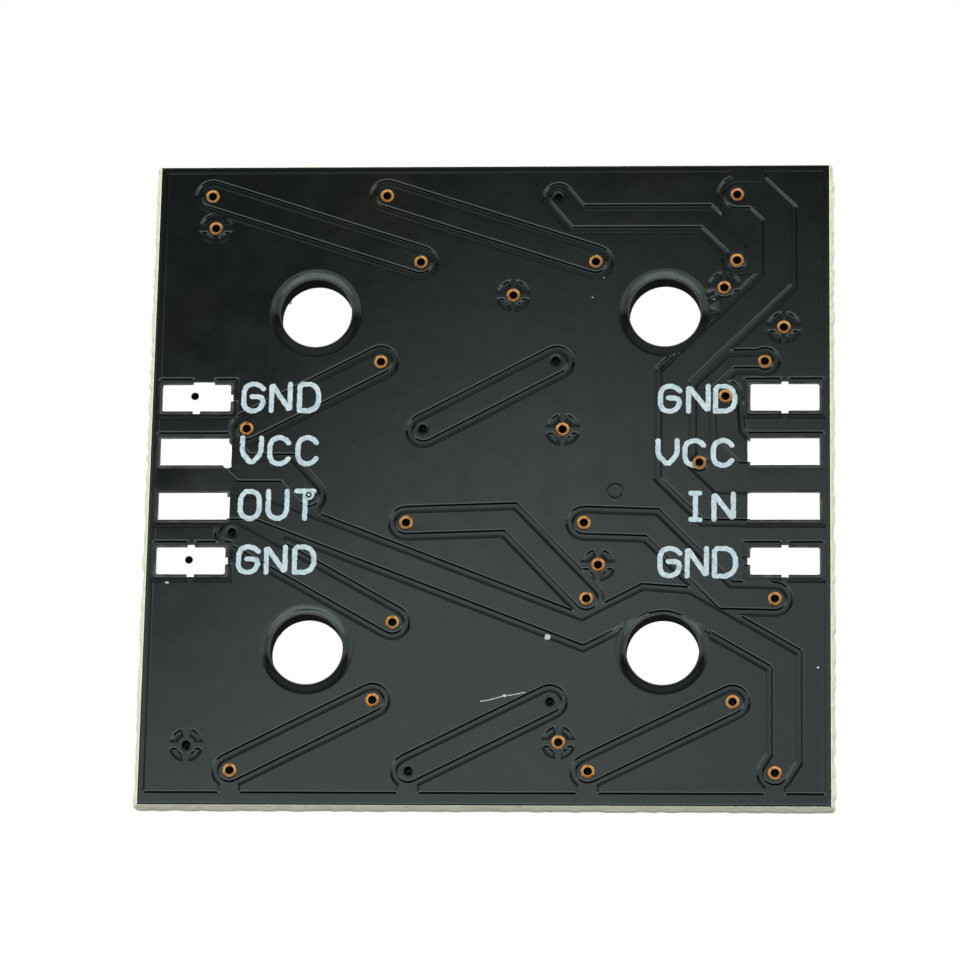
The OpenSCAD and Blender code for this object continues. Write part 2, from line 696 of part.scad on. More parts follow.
module input_pad_tin() {
    pad_tin(1);
}

module output_pad_tin() {
    pad_tin(-1);
}

module at_led(n) {
    column = n % GRID;
    row = floor(n / GRID);
    translate([led_x(column), led_y(row), 0])
        rotate(is_turned(column, row) ? 180 : 0)
            children();
}

// Cup of the housing, filled by the window from sink below its rim
module cup(sink) {
    slope = (window_d - window_floor_d) / cup_depth;
    translate([0, 0, sink])
        cylinder(h = cup_depth - sink, d1 = window_d - slope * sink, d2 = window_floor_d);
}

// One lead, folded from the floor of the cup round the side of the housing to its foot
module lead(c) {
    outer = led_size / 2 + lead_out;
    foot_in = led_size / 2 - lead_foot;
    translate([0, c[1] * lead_pitch / 2, 0])
        rotate([90, 0, 0])
            linear_extrude(lead_w, center = true)
                polygon([for (p = [
                    [lead_reach, cup_floor_z], [outer, cup_floor_z], [outer, foot_z], [foot_in, foot_z],
                    [foot_in, foot_z - lead_t], [outer - lead_t, foot_z - lead_t],
                    [outer - lead_t, cup_floor_z + lead_t], [lead_reach, cup_floor_z + lead_t]])
                    [c[0] * p[0], p[1]]]);
}

// The four leads of one LED: the ground lead carries the plate that the chips sit on
module leads() {
    plate_x = led_size / 2 - plate_margin;
    plate_y = lead_pitch / 2 - lead_w / 2 - plate_gap;
    for (c = [UL, UR, LR, LL])
        lead(c);
    translate([-plate_x, -plate_y, cup_floor_z])
        cube([2 * plate_x, 2 * plate_y, lead_t]);
    translate([-plate_x, -lead_pitch / 2, cup_floor_z])
        cube([plate_x - lead_reach, lead_pitch / 2, lead_t]);
}

module driver_chip() {
    translate([DRIVER_PLACE[0], DRIVER_PLACE[1], cup_floor_z - driver_t / 2])
        cube([driver_l, driver_w, driver_t], center = true);
}

module emitter_chips() {
    for (n = [-1:1])
        translate([EMITTER_PLACE[0] + n * emitter_pitch, EMITTER_PLACE[1], cup_floor_z - emitter_t / 2])
            cube([emitter_size, emitter_size, emitter_t], center = true);
}

module led_leads() {
    color("silver")
        for (n = [0:LEDS - 1])
            at_led(n)
                leads();
}

module led_driver_chips() {
    color("dimgray")
        for (n = [0:LEDS - 1])
            at_led(n)
                driver_chip();
}

module led_emitter_chips() {
    color("gold")
        for (n = [0:LEDS - 1])
            at_led(n)
                emitter_chips();
}

module led_housing(n) {
    color("white")
        at_led(n)
            difference() {
                translate([-led_size / 2, -led_size / 2, 0])
                    cube([led_size, led_size, led_h]);
                cup(0);
                translate([-led_size / 2, -led_size / 2, 0])
                    rotate(45)
                        cube([corner_cut * sqrt(2), corner_cut * sqrt(2), cup_depth], center = true);
                leads();
            }
}

module led_window(n) {
    color([0.9, 0.9, 0.8, 0.6])
        at_led(n)
            difference() {
                cup(window_sink);
                driver_chip();
                emitter_chips();
            }
}

module capacitor(n) {
    cap = CAPS[n];
    color("tan")
        translate([cap[0][0], cap[0][1], foot_z - cap_h / 2])
            rotate(cap[1] ? 90 : 0) {
                cube([cap_l - cap_end, cap_w - 2 * cap_lip, cap_h - 2 * cap_lip], center = true);
                for (end = [-1, 1])
                    translate([end * (cap_l - cap_end) / 2, 0, 0])
                        cube([cap_end, cap_w, cap_h], center = true);
            }
}

// Solder under a flat foot that ends at inner and outer, with a fillet up its outer face
module solder(inner, outer, toe, width) {
    fillet = toe - 2 * mask_wall;
    rotate([90, 0, 0])
        linear_extrude(width, center = true)
            polygon([
                [inner, foot_z], [outer, foot_z], [outer, foot_z - fillet],
                [outer + fillet, front_copper_z], [inner, front_copper_z]]);
}

module solder_joints() {
    color("gainsboro") {
        for (n = [0:LEDS - 1], c = [UL, UR, LR, LL])
            at_led(n)
                translate([0, c[1] * lead_pitch / 2, 0])
                    rotate(c[0] < 0 ? 180 : 0)
                        solder(led_size / 2 - lead_foot, led_size / 2 + lead_out, pad_toe, lead_w);
        for (cap = CAPS, end = [0, 180])
            translate(cap[0])
                rotate(end + (cap[1] ? 90 : 0))
                    solder(cap_l / 2 - cap_end, cap_l / 2, cap_toe, cap_w);
    }
}

laminate();
rear_copper();
front_copper();
rear_solder_mask();
front_solder_mask();
via_barrels();
input_pad_tin();
output_pad_tin();
led_leads();
led_driver_chips();
led_emitter_chips();
solder_joints();
for (n = [0:LEDS - 1]) led_housing(n);
for (n = [0:LEDS - 1]) led_window(n);
for (n = [0:LEDS - 1]) capacitor(n);
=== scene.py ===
import math

import bmesh
import bpy
import numpy as np
from mathutils import Euler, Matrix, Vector
from mathutils.geometry import delaunay_2d_cdt


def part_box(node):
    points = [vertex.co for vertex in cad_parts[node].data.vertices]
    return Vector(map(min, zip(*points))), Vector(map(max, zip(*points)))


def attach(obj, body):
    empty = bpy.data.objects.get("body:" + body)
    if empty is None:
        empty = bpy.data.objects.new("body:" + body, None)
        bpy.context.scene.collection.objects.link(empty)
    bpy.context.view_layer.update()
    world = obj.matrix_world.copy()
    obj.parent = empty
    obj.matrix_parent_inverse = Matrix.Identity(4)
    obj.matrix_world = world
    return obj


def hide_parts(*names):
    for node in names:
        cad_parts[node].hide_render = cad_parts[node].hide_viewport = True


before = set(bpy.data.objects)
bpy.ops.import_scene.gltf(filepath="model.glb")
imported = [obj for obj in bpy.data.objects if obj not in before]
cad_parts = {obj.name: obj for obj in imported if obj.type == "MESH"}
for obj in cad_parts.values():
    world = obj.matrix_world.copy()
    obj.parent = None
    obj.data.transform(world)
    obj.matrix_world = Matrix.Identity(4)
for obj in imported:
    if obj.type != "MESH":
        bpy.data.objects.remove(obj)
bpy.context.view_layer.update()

MM = 0.001
rng = np.random.default_rng(7)

# Heights in millimetres above the LED faces, as in the CAD
CORE_Z = 1.72
CORE_TOP_Z = 2.76
COPPER_T = 0.05
REAR_COPPER_Z = CORE_TOP_Z + COPPER_T
REAR_FACE_Z = 2.84
INK_T = 0.008
MASK_Z = REAR_FACE_Z - INK_T
MASK_SHELL_T = 0.02

# Sizes of the board in millimetres
HALF_FACE = (15.16, 14.9)
HALF_WEB = (15.4, 15.06)
SCORE_DEPTH = 0.36
# Middle of the holes, LEDs, tracks and print along X, left of the middle of the board
PATTERN_X = -0.06
# Distance between two LEDs, and from the middle to a mounting hole along X and Y
PITCH = 7.85
HOLE_R = 1.6
HOLE_PLACES = [(PATTERN_X + x * PITCH, y * PITCH) for x in (-1, 1) for y in (-1, 1)]
# Largest side of a via's outline in the copper, of a drilled hole or a via's opening, of any
# opening in the mask, and of an outline that isn't the board's own
VIA_SIZE = 0.5
DRILLED_SIZE = 1.0
OPENING_SIZE = 5.0
BOARD_SIZE = 2 * HALF_FACE[1]
# Points on a circle round a via, its opening in the mask, and a mounting hole
VIA_STEPS = 32
OPENING_STEPS = 40
HOLE_STEPS = 120


# ---- Shapes read from the frame

# A face looks up when its normal rises by more than this
UPWARD = 0.1
# The least cosine that a corner of a moved outline counts with
SHARPEST = 0.4
# Points that are compared with the outlines at a time
BATCH = 2000


def values_of(items, key, kind=float, size=3):
    """A row of values for each item of a mesh."""
    values = np.empty(len(items) * size, dtype=kind)
    items.foreach_get(key, values)
    return values.reshape(-1, size)


def node_triangles(name):
    """Vertices of a CAD node in millimetres, and its triangles."""
    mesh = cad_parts[name].data
    mesh.calc_loop_triangles()
    return values_of(mesh.vertices, "co") / MM, values_of(mesh.loop_triangles, "vertices", np.int32)


def border_edges(triangles):
    """Directed edges that only one triangle has, with the surface on their left."""
    edges = np.concatenate([triangles[:, [0, 1]], triangles[:, [1, 2]], triangles[:, [2, 0]]])
    known = set(map(tuple, edges.tolist()))
    return [edge for edge in sorted(known) if (edge[1], edge[0]) not in known]


def outlines(name, above):
    """Closed outlines, seen from above, of a node's upward faces that lie above a height."""
    points, triangles = node_triangles(name)
    a, b, c = (points[triangles[:, k]] for k in range(3))
    normals = np.cross(b - a, c - a)
    normals /= np.maximum(np.linalg.norm(normals, axis=1), 1e-12)[:, None]
    upward = triangles[(normals[:, 2] > UPWARD) & (a[:, 2] > above)]
    flat, place = np.unique(np.round(points[:, :2], 3), axis=0, return_inverse=True)
    upward = place.reshape(-1)[upward]
    distinct = (upward != np.roll(upward, 1, axis=1)).all(axis=1)
    onward = {}
    for start, end in border_edges(upward[distinct]):
        onward.setdefault(start, []).append(end)
    loops = []
    while onward:
        loop = [next(iter(onward))]
        while True:
            ahead = onward[loop[-1]].pop()
            if not onward[loop[-1]]:
                del onward[loop[-1]]
            if ahead == loop[0]:
                break
            loop.append(ahead)
        loops.append(flat[loop])
    return loops


def extent(loop):
    return np.ptp(loop, axis=0).max()


def moved_out(loop, distance):
    """The outline moved to its right, away from the surface that it bounds."""
    before = loop - np.roll(loop, 1, axis=0)
    after = np.roll(loop, -1, axis=0) - loop
    before, after = (v / np.linalg.norm(v, axis=1)[:, None] for v in (before, after))
    right = np.stack([before[:, 1], -before[:, 0]], axis=1)
    across = right + np.stack([after[:, 1], -after[:, 0]], axis=1)
    across /= np.maximum(np.linalg.norm(across, axis=1), 1e-6)[:, None]
    sharpness = np.maximum((across * right).sum(axis=1), SHARPEST)
    return loop + across * (distance / sharpness)[:, None]


def moved_rows(loops, table, side=-1):
    """The outlines moved inwards by each distance of a table, or outwards with side 1."""
    return [moved_out(loop, side * step) for step, _ in table for loop in loops]


def with_guards(loop, guard=0.08, longest=1.5):
    """The outline with points beside the ends of its long edges, so that these stay evenly lit."""
    points = []
    for a, b in zip(loop, np.roll(loop, -1, axis=0)):
        length = np.linalg.norm(b - a)
        points.append(a)
        if length > 3 * guard:
            parts = math.ceil((length - 2 * guard) / longest)
            stops = np.linspace(guard, length - guard, parts + 1)
            points += [a + (b - a) * stop / length for stop in stops]
    return np.array(points)


def turns_round(steps):
    return np.arange(steps) * 2 * math.pi / steps


def circle(centre, radius, steps=48):
    turns = turns_round(steps)
    return np.array(centre) + radius * np.stack([np.cos(turns), np.sin(turns)], axis=1)


def segments(loops):
    starts = np.concatenate(loops)
    ends = np.concatenate([np.roll(loop, -1, axis=0) for loop in loops])
    return starts, ends


def in_batches(points, work):
    """What work(points) gives, worked out for some points at a time."""
    return np.concatenate([work(points[first:first + BATCH])
                           for first in range(0, len(points), BATCH)])


def distance_to(points, loops):
    """Distance from each point to the nearest edge of the closed outlines."""
    starts, ends = segments(loops)
    along = ends - starts
    length2 = np.maximum((along ** 2).sum(axis=1), 1e-12)

    def nearest(some):
        away = some[:, None] - starts
        share = np.clip((away * along).sum(axis=2) / length2, 0, 1)
        gap = away - share[:, :, None] * along
        return np.sqrt((gap ** 2).sum(axis=2).min(axis=1))

    return in_batches(points, nearest)


def inside(points, loops):
    """True where a point lies inside an odd number of the closed outlines."""
    starts, ends = segments(loops)
    rise = ends[:, 1] - starts[:, 1]
    rise = np.where(rise == 0, 1e-12, rise)

    def odd(some):
        x, y = some[:, :1], some[:, 1:]
        spans = (starts[:, 1] > y) != (ends[:, 1] > y)
        crossing = starts[:, 0] + (y - starts[:, 1]) / rise * (ends[:, 0] - starts[:, 0])
        return (spans & (x < crossing)).sum(axis=1) % 2 == 1

    return in_batches(points, odd)


# ---- Meshes

# Points closer than this are one, and triangles smaller than this are left out
MERGED = 1e-5
SLIVER = 1e-9


def triangulated(rows, keep, loose=()):
    """Triangles over closed rows of points and loose points, kept where keep(middles) is true."""
    points = np.concatenate([*rows, *([np.asarray(loose)] if len(loose) else [])])
    edges, first = [], 0
    for row in rows:
        count = len(row)
        edges += [(first + n, first + (n + 1) % count) for n in range(count)]
        first += count
    found = delaunay_2d_cdt([tuple(p) for p in points.tolist()], edges, [], 0, MERGED, False)
    flat = np.array([tuple(p) for p in found[0]])
    triangles = np.array(found[2])
    corners = flat[triangles]
    twice = np.cross(corners[:, 1] - corners[:, 0], corners[:, 2] - corners[:, 0])
    triangles = triangles[(twice > SLIVER) & keep(corners.mean(axis=1))]
    used, triangles = np.unique(triangles, return_inverse=True)
    return flat[used], triangles.reshape(-1, 3)


def raised(flat, height):
    """Flat points at one height, or each at its own."""
    return np.column_stack([flat, np.broadcast_to(height, len(flat))])


def shell(flat, triangles, top, bottom):
    """A closed skin over flat points, between the heights top and bottom."""
    count = len(flat)
    points = np.concatenate([raised(flat, top), raised(flat, bottom)])
    faces = triangles.tolist() + (triangles[:, ::-1] + count).tolist()
    for a, b in border_edges(triangles):
        faces.append([b, a, a + count, b + count])
    return points, faces


def weigh_normals(mesh):
    """Normals weighed by the area of the faces, so that wide flat faces stay evenly lit."""
    facing = values_of(mesh.polygons, "normal") * values_of(mesh.polygons, "area", size=1)
    counts = values_of(mesh.polygons, "loop_total", np.int32, 1).ravel()
    corners = values_of(mesh.loops, "vertex_index", np.int32, 1).ravel()
    total = np.zeros((len(mesh.vertices), 3))
    np.add.at(total, corners, np.repeat(facing, counts, axis=0))
    total /= np.maximum(np.linalg.norm(total, axis=1), 1e-20)[:, None]
    mesh.normals_split_custom_set_from_vertices(total.tolist())


def in_scene(name, data):
    made = bpy.data.objects.new(name, data)
    bpy.context.scene.collection.objects.link(made)
    return made


def make_piece(name, points, faces, materials, slot, replaced=(), kinds=None, smooth=True):
    """A piece from points in millimetres. kinds gives each face one of several materials."""
    mesh = bpy.data.meshes.new(name)
    mesh.from_pydata((np.asarray(points) * MM).tolist(), [], faces)
    for material in materials:
        mesh.materials.append(MATERIALS[material])
    if kinds:
        mesh.polygons.foreach_set("material_index", kinds)
    mesh.polygons.foreach_set("use_smooth", [smooth] * len(mesh.polygons))
    mesh.update()
    if smooth:
        weigh_normals(mesh)
    piece = in_scene(name, mesh)
    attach(piece, "root")
    if replaced:
        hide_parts(*replaced)


# ---- Nodes of the materials

def bare_tree(owner):
    """The empty node tree of a material or of the sky."""
    owner.use_nodes = True
    owner.node_tree.nodes.clear()
    return owner.node_tree


def node(tree, kind, settings=None, numbered=None, **named):
    """A shader node with its settings. Its inputs, by number or name, are set or linked."""
    made = tree.nodes.new("ShaderNode" + kind)
    for key, value in (settings or {}).items():
        setattr(made, key, value)
    inputs = {key.replace("_", " "): value for key, value in named.items()}
    for key, value in {**(numbered or {}), **inputs}.items():
        if isinstance(value, bpy.types.NodeSocket):
            tree.links.new(value, made.inputs[key])
        else:
            made.inputs[key].default_value = value
    return made


def maths(tree, operation, a, b):
    return node(tree, "Math", {"operation": operation}, {0: a, 1: b}).outputs[0]


def smooth_step(tree, value, low, high, start=0.0, end=1.0):
    """From start to end as the value goes from low to high."""
    made = node(tree, "MapRange", {"interpolation_type": "SMOOTHSTEP"}, Value=value,
                From_Min=low, From_Max=high, To_Min=start, To_Max=end)
    return made.outputs["Result"]


def stretched(tree, vector, scale):
    return node(tree, "Mapping", Vector=vector, Scale=scale).outputs["Vector"]


def noise(tree, vector, size, detail=3.0, rough=0.55):
    """Noise with patches of about size millimetres."""
    return node(tree, "TexNoise", Vector=vector, Scale=1 / (size * MM), Detail=detail,
                Roughness=rough).outputs["Fac"]


def mixed(tree, factor, a, b):
    """A colour from a to b. The node's sockets are known by number, as their names repeat."""
    return node(tree, "Mix", {"data_type": "RGBA"}, {0: factor, 6: a, 7: b}).outputs[2]


def show_mixed(tree, output, factor, a, b):
    """Shows the shaders a and b mixed by the factor."""
    both = node(tree, "MixShader", None, {0: factor, 1: a.outputs[0], 2: b.outputs[0]})
    node(tree, output, Surface=both.outputs[0])


def bump(tree, height, depth, **under):
    """A bump whose height from 0 to 1 is depth millimetres, over the Normal of another."""
    return node(tree, "Bump", Height=height, Distance=depth * MM, Strength=1.0,
                **under).outputs["Normal"]


def rgb(red, green, blue):
    """A colour given in the 0 to 255 steps of a screen, as the shader wants it."""
    steps = [c / 255 for c in (red, green, blue)]
    return (*[s / 12.92 if s <= 0.04045 else ((s + 0.055) / 1.055) ** 2.4 for s in steps], 1.0)


def drawn(name, look):
    """A material that look(tree, place on the object) draws."""
    made = bpy.data.materials.new(name)
    tree = bare_tree(made)
    look(tree, node(tree, "TexCoord").outputs["Object"])
    return made


def shade(tree, **sockets):
    """Shows a surface. Constant inputs are set on the shader's own sockets."""
    shader = node(tree, "BsdfPrincipled", **sockets)
    node(tree, "OutputMaterial", Surface=shader.outputs[0])


def mottled(light, dark, size, roughness, grain, grain_size, **sockets):
    """The look of two tones in patches, with uneven gloss and a fine grain."""
    def look(tree, where):
        patches = noise(tree, where, size)
        shade(tree, Base_Color=mixed(tree, smooth_step(tree, patches, 0.35, 0.65), dark, light),
              Roughness=smooth_step(tree, patches, 0.3, 0.7, *roughness),
              Normal=bump(tree, noise(tree, where, grain_size), grain), **sockets)

    return look


# ---- Materials

def mask_look(tree, where):
    """Glossy black lacquer with a faint orange peel, thin and brownish in a few patches."""
    patches = smooth_step(tree, noise(tree, where, 5.0, 5.0, 0.6), 0.52, 0.75)
    peel = bump(tree, noise(tree, where, 0.5, 2.0), 0.0008)
    shade(tree, IOR=1.6,
          Base_Color=mixed(tree, patches, (0.002, 0.003, 0.0016, 1), (0.008, 0.006, 0.002, 1)),
          Roughness=smooth_step(tree, noise(tree, where, 1.5, 4.0), 0.3, 0.75, 0.07, 0.12),
          Normal=bump(tree, noise(tree, where, 3.0, 2.0), 0.003, Normal=peel))


def rim_look(tree, where):
    """The snapped rim of the glass epoxy, with its layers and torn fibres."""
    layers = noise(tree, stretched(tree, where, (1, 1, 9)), 0.5, 5.0, 0.7)
    torn = noise(tree, where, 0.16, 4.0, 0.7)
    tone = mixed(tree, smooth_step(tree, layers, 0.35, 0.65), rgb(250, 240, 206),
                 rgb(255, 253, 236))
    spots = smooth_step(tree, torn, 0.6, 0.72)
    shade(tree, Base_Color=mixed(tree, spots, tone, rgb(206, 196, 140)),
          Roughness=smooth_step(tree, torn, 0.3, 0.7, 0.55, 0.8),
          Normal=bump(tree, torn, 0.05, Normal=bump(tree, layers, 0.03)))


def bore_painted_shade_look(tree, where):
    """The drilled walls of the glass epoxy, coloured near black as painted shade down the holes."""
    rings = noise(tree, stretched(tree, where, (1, 1, 14)), 1.2, 4.0, 0.65)
    tone = smooth_step(tree, rings, 0.4, 0.66)
    # Painted shade: the pale epoxy is given an almost black colour inside the mounting holes and
    # drilled vias
    shade(tree, Specular_IOR_Level=0.05,
          Base_Color=mixed(tree, tone, (0.002, 0.0018, 0.001, 1), (0.012, 0.01, 0.005, 1)),
          Roughness=smooth_step(tree, rings, 0.3, 0.7, 0.6, 0.9), Normal=bump(tree, rings, 0.02))


def via_look(tree, where):
    """Copper at the rim of a via, with a dark colour inside it as painted shade."""
    speckle = noise(tree, where, 0.08)
    height = node(tree, "SeparateXYZ", Vector=where).outputs[2]
    # Painted shade: below the rim the copper barrel is coloured dark brown, as if shaded inside the
    # hole
    rim = smooth_step(tree, height, (REAR_COPPER_Z - 0.05) * MM, (REAR_COPPER_Z - 0.01) * MM)
    copper = mixed(tree, speckle, rgb(196, 120, 66), rgb(236, 168, 98))
    shade(tree, Metallic=1.0, Base_Color=mixed(tree, rim, rgb(26, 14, 8), copper),
          Roughness=smooth_step(tree, speckle, 0.3, 0.7, 0.3, 0.5))


def window_look(tree, where):
    """Clear resin, faintly yellow and hazy."""
    haze = noise(tree, where, 0.6)
    shade(tree, IOR=1.5, Transmission_Weight=1.0,
          Base_Color=mixed(tree, haze, (1.0, 0.995, 0.95, 1), (0.985, 0.975, 0.9, 1)),
          Roughness=smooth_step(tree, haze, 0.3, 0.7, 0.01, 0.05),
          Normal=bump(tree, noise(tree, where, 0.9, 1.0), 0.002))


def driver_look(tree, where):
    """The bare silicon of a driver chip, with the faint blocks of its circuits."""
    blocks = node(tree, "TexVoronoi", {"distance": "CHEBYCHEV"}, Vector=where,
                  Scale=1 / (0.09 * MM), Randomness=0.8).outputs["Distance"]
    shade(tree, Metallic=0.6,
          Base_Color=mixed(tree, blocks, rgb(150, 140, 150), rgb(86, 82, 96)),
          Roughness=smooth_step(tree, blocks, 0.1, 0.8, 0.15, 0.35))


def capacitor_look(tree, where):
    """Brown ceramic, faintly speckled."""
    speckle = noise(tree, where, 0.12)
    shade(tree, Base_Color=mixed(tree, speckle, rgb(126, 98, 66), rgb(156, 126, 88)),
          Roughness=smooth_step(tree, speckle, 0.3, 0.7, 0.35, 0.5),
          Normal=bump(tree, speckle, 0.003))


METAL = {"Metallic": 1.0}
# Surfaces of two tones: the light and the dark tone, the size of their patches, the roughness of
# dark and light patches, the depth and size of the grain, and the shader's own values
MOTTLED = {
    "copper": (rgb(236, 168, 98), rgb(196, 120, 66), 0.3, (0.28, 0.45), 0.003, 0.06, METAL),
    "tin": ((1.0, 0.97, 0.97, 1), (0.98, 0.94, 0.94, 1), 0.5, (0.5, 0.58), 0.001, 0.25, METAL),
    "solder": (rgb(205, 208, 210), rgb(150, 153, 156), 0.25, (0.2, 0.5), 0.01, 0.12, METAL),
    "silver_plate": (rgb(240, 240, 234), rgb(214, 213, 204), 0.4, (0.2, 0.36), 0.002, 0.05, METAL),
    "gold_wire": (rgb(255, 214, 130), rgb(238, 186, 96), 0.2, (0.2, 0.35), 0.001, 0.03, METAL),
    "led_housing": (rgb(243, 243, 238), rgb(232, 232, 225), 0.8, (0.38, 0.5), 0.002, 0.06,
                    {"IOR": 1.52}),
    # The laminate's face: its own dark olive tone, darkened further as painted shade where it shows
    # in the narrow gaps round the pads
    "laminate_face": (rgb(24, 24, 7), rgb(11, 11, 4), 0.6, (0.4, 0.6), 0.004, 0.15,
                      {"Specular_IOR_Level": 0.25}),
    "emitter": (rgb(226, 214, 150), rgb(206, 176, 110), 0.12, (0.25, 0.4), 0.002, 0.04, {}),
    "ink": ((0.84, 0.9, 0.92, 1), (0.6, 0.7, 0.76, 1), 0.22, (0.5, 0.7), 0.004, 0.1, {}),
    "dust": (rgb(236, 238, 236), rgb(196, 200, 198), 0.1, (0.6, 0.8), 0.004, 0.05, {}),
}
LOOKS = {"mask": mask_look, "laminate_rim": rim_look, "laminate_bore": bore_painted_shade_look,
         "via": via_look, "led_window": window_look, "silicon": driver_look,
         "capacitor": capacitor_look,
         **{name: mottled(*row, **values) for name, (*row, values) in MOTTLED.items()}}
MATERIALS = {name: drawn(name, look) for name, look in LOOKS.items()}


# ---- The mask over the rear copper

# Fall of the mask's face at a distance outside the copper's edge, as a share of the copper
RELIEF = [(-0.085, 0), (-0.06, 0.008), (-0.04, 0.035), (-0.02, 0.1), (-0.003, 0.21),
          (0.008, 0.32), (0.07, 0.98), (0.082, 1)]
# Fall of the mask's face at a distance from an opening, and from the board's edge, in millimetres
RIM = [(0, 0.004), (0.02, 0)]
BORDER = [(0, 0.03), (0.03, 0.012), (0.06, 0.002), (0.1, 0), (0.15, 0)]
# Fall of the mask's face at a distance from the middle of a via that it closes, in millimetres
DIMPLE = [(0, 0.12), (0.03, 0.124), (0.05, 0.2), (0.07, 0.42), (0.1, 0.5), (0.15, 0.5),
          (0.17, 0.3), (0.18, 0.1), (0.185, 0.018), (0.19, 0.007), (0.21, 0.004), (0.26, 0.001),
          (0.32, 0)]
# The same over the via in a printed letter, which is full but for a ring. It lies near this place
INKED_DIMPLE = [(0, 0), (0.07, 0), (0.085, 0.02), (0.115, 0.02), (0.13, 0)]
INKED_VIA = (-7.94 + PATTERN_X, -0.73)
NEAR_VIA = 0.2
# Fall of the mask's face at a distance from the middle of a mounting hole, down to the laminate
HOLE_FALL = [(1.64, 0.071), (1.72, 0.0685), (1.8, 0.045), (1.86, 0.026), (1.9, 0.019),
             (1.98, 0.008), (2.04, 0.002), (2.1, 0)]
# A faint ring that stands up from the mask: its middle, and its rise at a distance from there
FAINT_RING = (5.7 + PATTERN_X, -0.6)
FAINT_RING_RISE = [(0.2, 0), (0.26, 0), (0.3, 0.002), (0.33, 0.004), (0.36, 0.002), (0.4, 0),
                   (0.46, 0)]

VIA_OPENING_R = 0.305
# How far in from the ends of the board's long edges the mask gets points
BORDER_GUARD = 0.3
# Outlines of faces are read this much below or above a known height
MARGIN = 0.01

COPPER_LOOPS = outlines("rear_copper", CORE_TOP_Z)
RELIEF_LOOPS = [with_guards(loop) for loop in COPPER_LOOPS if extent(loop) > VIA_SIZE]
VIA_PLACES = [loop.mean(axis=0) for loop in COPPER_LOOPS if extent(loop) <= VIA_SIZE]


def curve(table, values):
    return np.interp(values, *zip(*table))


def middle_of(loop):
    return (loop.min(axis=0) + loop.max(axis=0)) / 2


def mask_loops():
    """Outlines of the mask, closed in a little round each open via."""
    loops = [loop for loop in outlines("rear_solder_mask", CORE_TOP_Z - MARGIN)
             if extent(loop) > VIA_SIZE]
    return [circle(middle_of(loop), VIA_OPENING_R, OPENING_STEPS)[::-1]
            if extent(loop) < DRILLED_SIZE else loop for loop in loops]


MASK_LOOPS = mask_loops()
BORDER_LOOPS = [with_guards(loop, BORDER_GUARD) for loop in MASK_LOOPS
                if extent(loop) > BOARD_SIZE]
OPENING_LOOPS = [loop for loop in MASK_LOOPS if extent(loop) < BOARD_SIZE]


def is_closed(via):
    """True for a via that no opening of the mask uncovers."""
    return all(np.abs(middle_of(loop) - via).max() > extent(loop) / 2 for loop in MASK_LOOPS
               if extent(loop) < OPENING_SIZE)


CLOSED_VIAS = [via for via in VIA_PLACES if is_closed(via)]


def is_inked(via):
    return np.linalg.norm(via - INKED_VIA) < NEAR_VIA


def dimple(via):
    return INKED_DIMPLE if is_inked(via) else DIMPLE


def mask_height(points):
    """Height of the mask's face over each point."""
    away = distance_to(points, RELIEF_LOOPS)
    signed = np.where(inside(points, RELIEF_LOOPS), -away, away)
    fall = COPPER_T * curve(RELIEF, signed)
    for hole in HOLE_PLACES:
        away = np.linalg.norm(points - hole, axis=1)
        bowl = curve(HOLE_FALL, away)
        bowl = np.where(signed < 0, np.minimum(fall, bowl), bowl)
        fall = np.where(away < HOLE_FALL[-1][0], bowl, fall)
    height = MASK_Z - fall
    height -= curve(RIM, distance_to(points, OPENING_LOOPS))
    height -= curve(BORDER, distance_to(points, BORDER_LOOPS))
    for via in CLOSED_VIAS:
        height -= curve(dimple(via), np.linalg.norm(points - via, axis=1))
    return height + curve(FAINT_RING_RISE, np.linalg.norm(points - FAINT_RING, axis=1))


def rear_mask():
    """The lacquer as a thin skin, with its relief over the copper, openings and dimples."""
    rows = moved_rows(RELIEF_LOOPS, RELIEF, 1)
    rows += moved_rows(OPENING_LOOPS, RIM) + moved_rows(BORDER_LOOPS, BORDER)
    rows += [circle(via, radius, VIA_STEPS) for via in CLOSED_VIAS for radius, _ in dimple(via)[1:]]
    rows += [circle(FAINT_RING, radius) for radius, _ in FAINT_RING_RISE]
    rows += [circle(hole, radius, HOLE_STEPS)
             for radius, _ in HOLE_FALL[1:] for hole in HOLE_PLACES]
    rows = [np.clip(row, -np.array(HALF_FACE), HALF_FACE) for row in rows]
    flat, triangles = triangulated(rows, lambda middles: inside(middles, MASK_LOOPS))
    top = mask_height(flat)
    make_piece("rear_mask", *shell(flat, triangles, top, top - MASK_SHELL_T), ["mask"],
               "solder_mask", ["rear_solder_mask"])


# Height of the foil at a distance from its edge, as a share
FOIL_SLOPE = [(0, 0.01), (0.05, 1)]


def rear_copper():
    """The foil as it is etched, with sloping edges."""
    loops = [with_guards(loop) for loop in COPPER_LOOPS]
    rows = loops + moved_rows(RELIEF_LOOPS, FOIL_SLOPE[1:])
    flat, triangles = triangulated(rows, lambda middles: inside(middles, loops))
    top = CORE_TOP_Z + COPPER_T * curve(FOIL_SLOPE, distance_to(flat, RELIEF_LOOPS))
    make_piece("copper_foil", *shell(flat, triangles, top, CORE_TOP_Z), ["copper"], "copper",
               ["rear_copper"])


# ---- The laminate

# Distance between points round the rim, in millimetres
WALK_STEP = 0.11
# Rows on the rear face along the rim: how far in from its edge, and how far below the face
EDGE_ROWS = [(0.15, 0), (0.1, 0.002), (0.06, 0.008), (0.03, 0.018)]
# Rows down the rim: the height as a share of the laminate's, and how deep the row is torn at most
TORN_ROWS = [(0.955, 0.0), (0.85, 0.03), (0.7, 0.08), (0.653, 0.12), (0.6, 0.13), (0.55, 0.1),
             (0.5, 0.11), (0.45, 0.13), (0.4, 0.12), (0.346, 0.12), (0.3, 0.08), (0.15, 0.03),
             (0.03, 0.01), (0, 0.0)]
# How deep the rim is torn along X and along Y, as a share
TORN = np.array([1, 0.4])
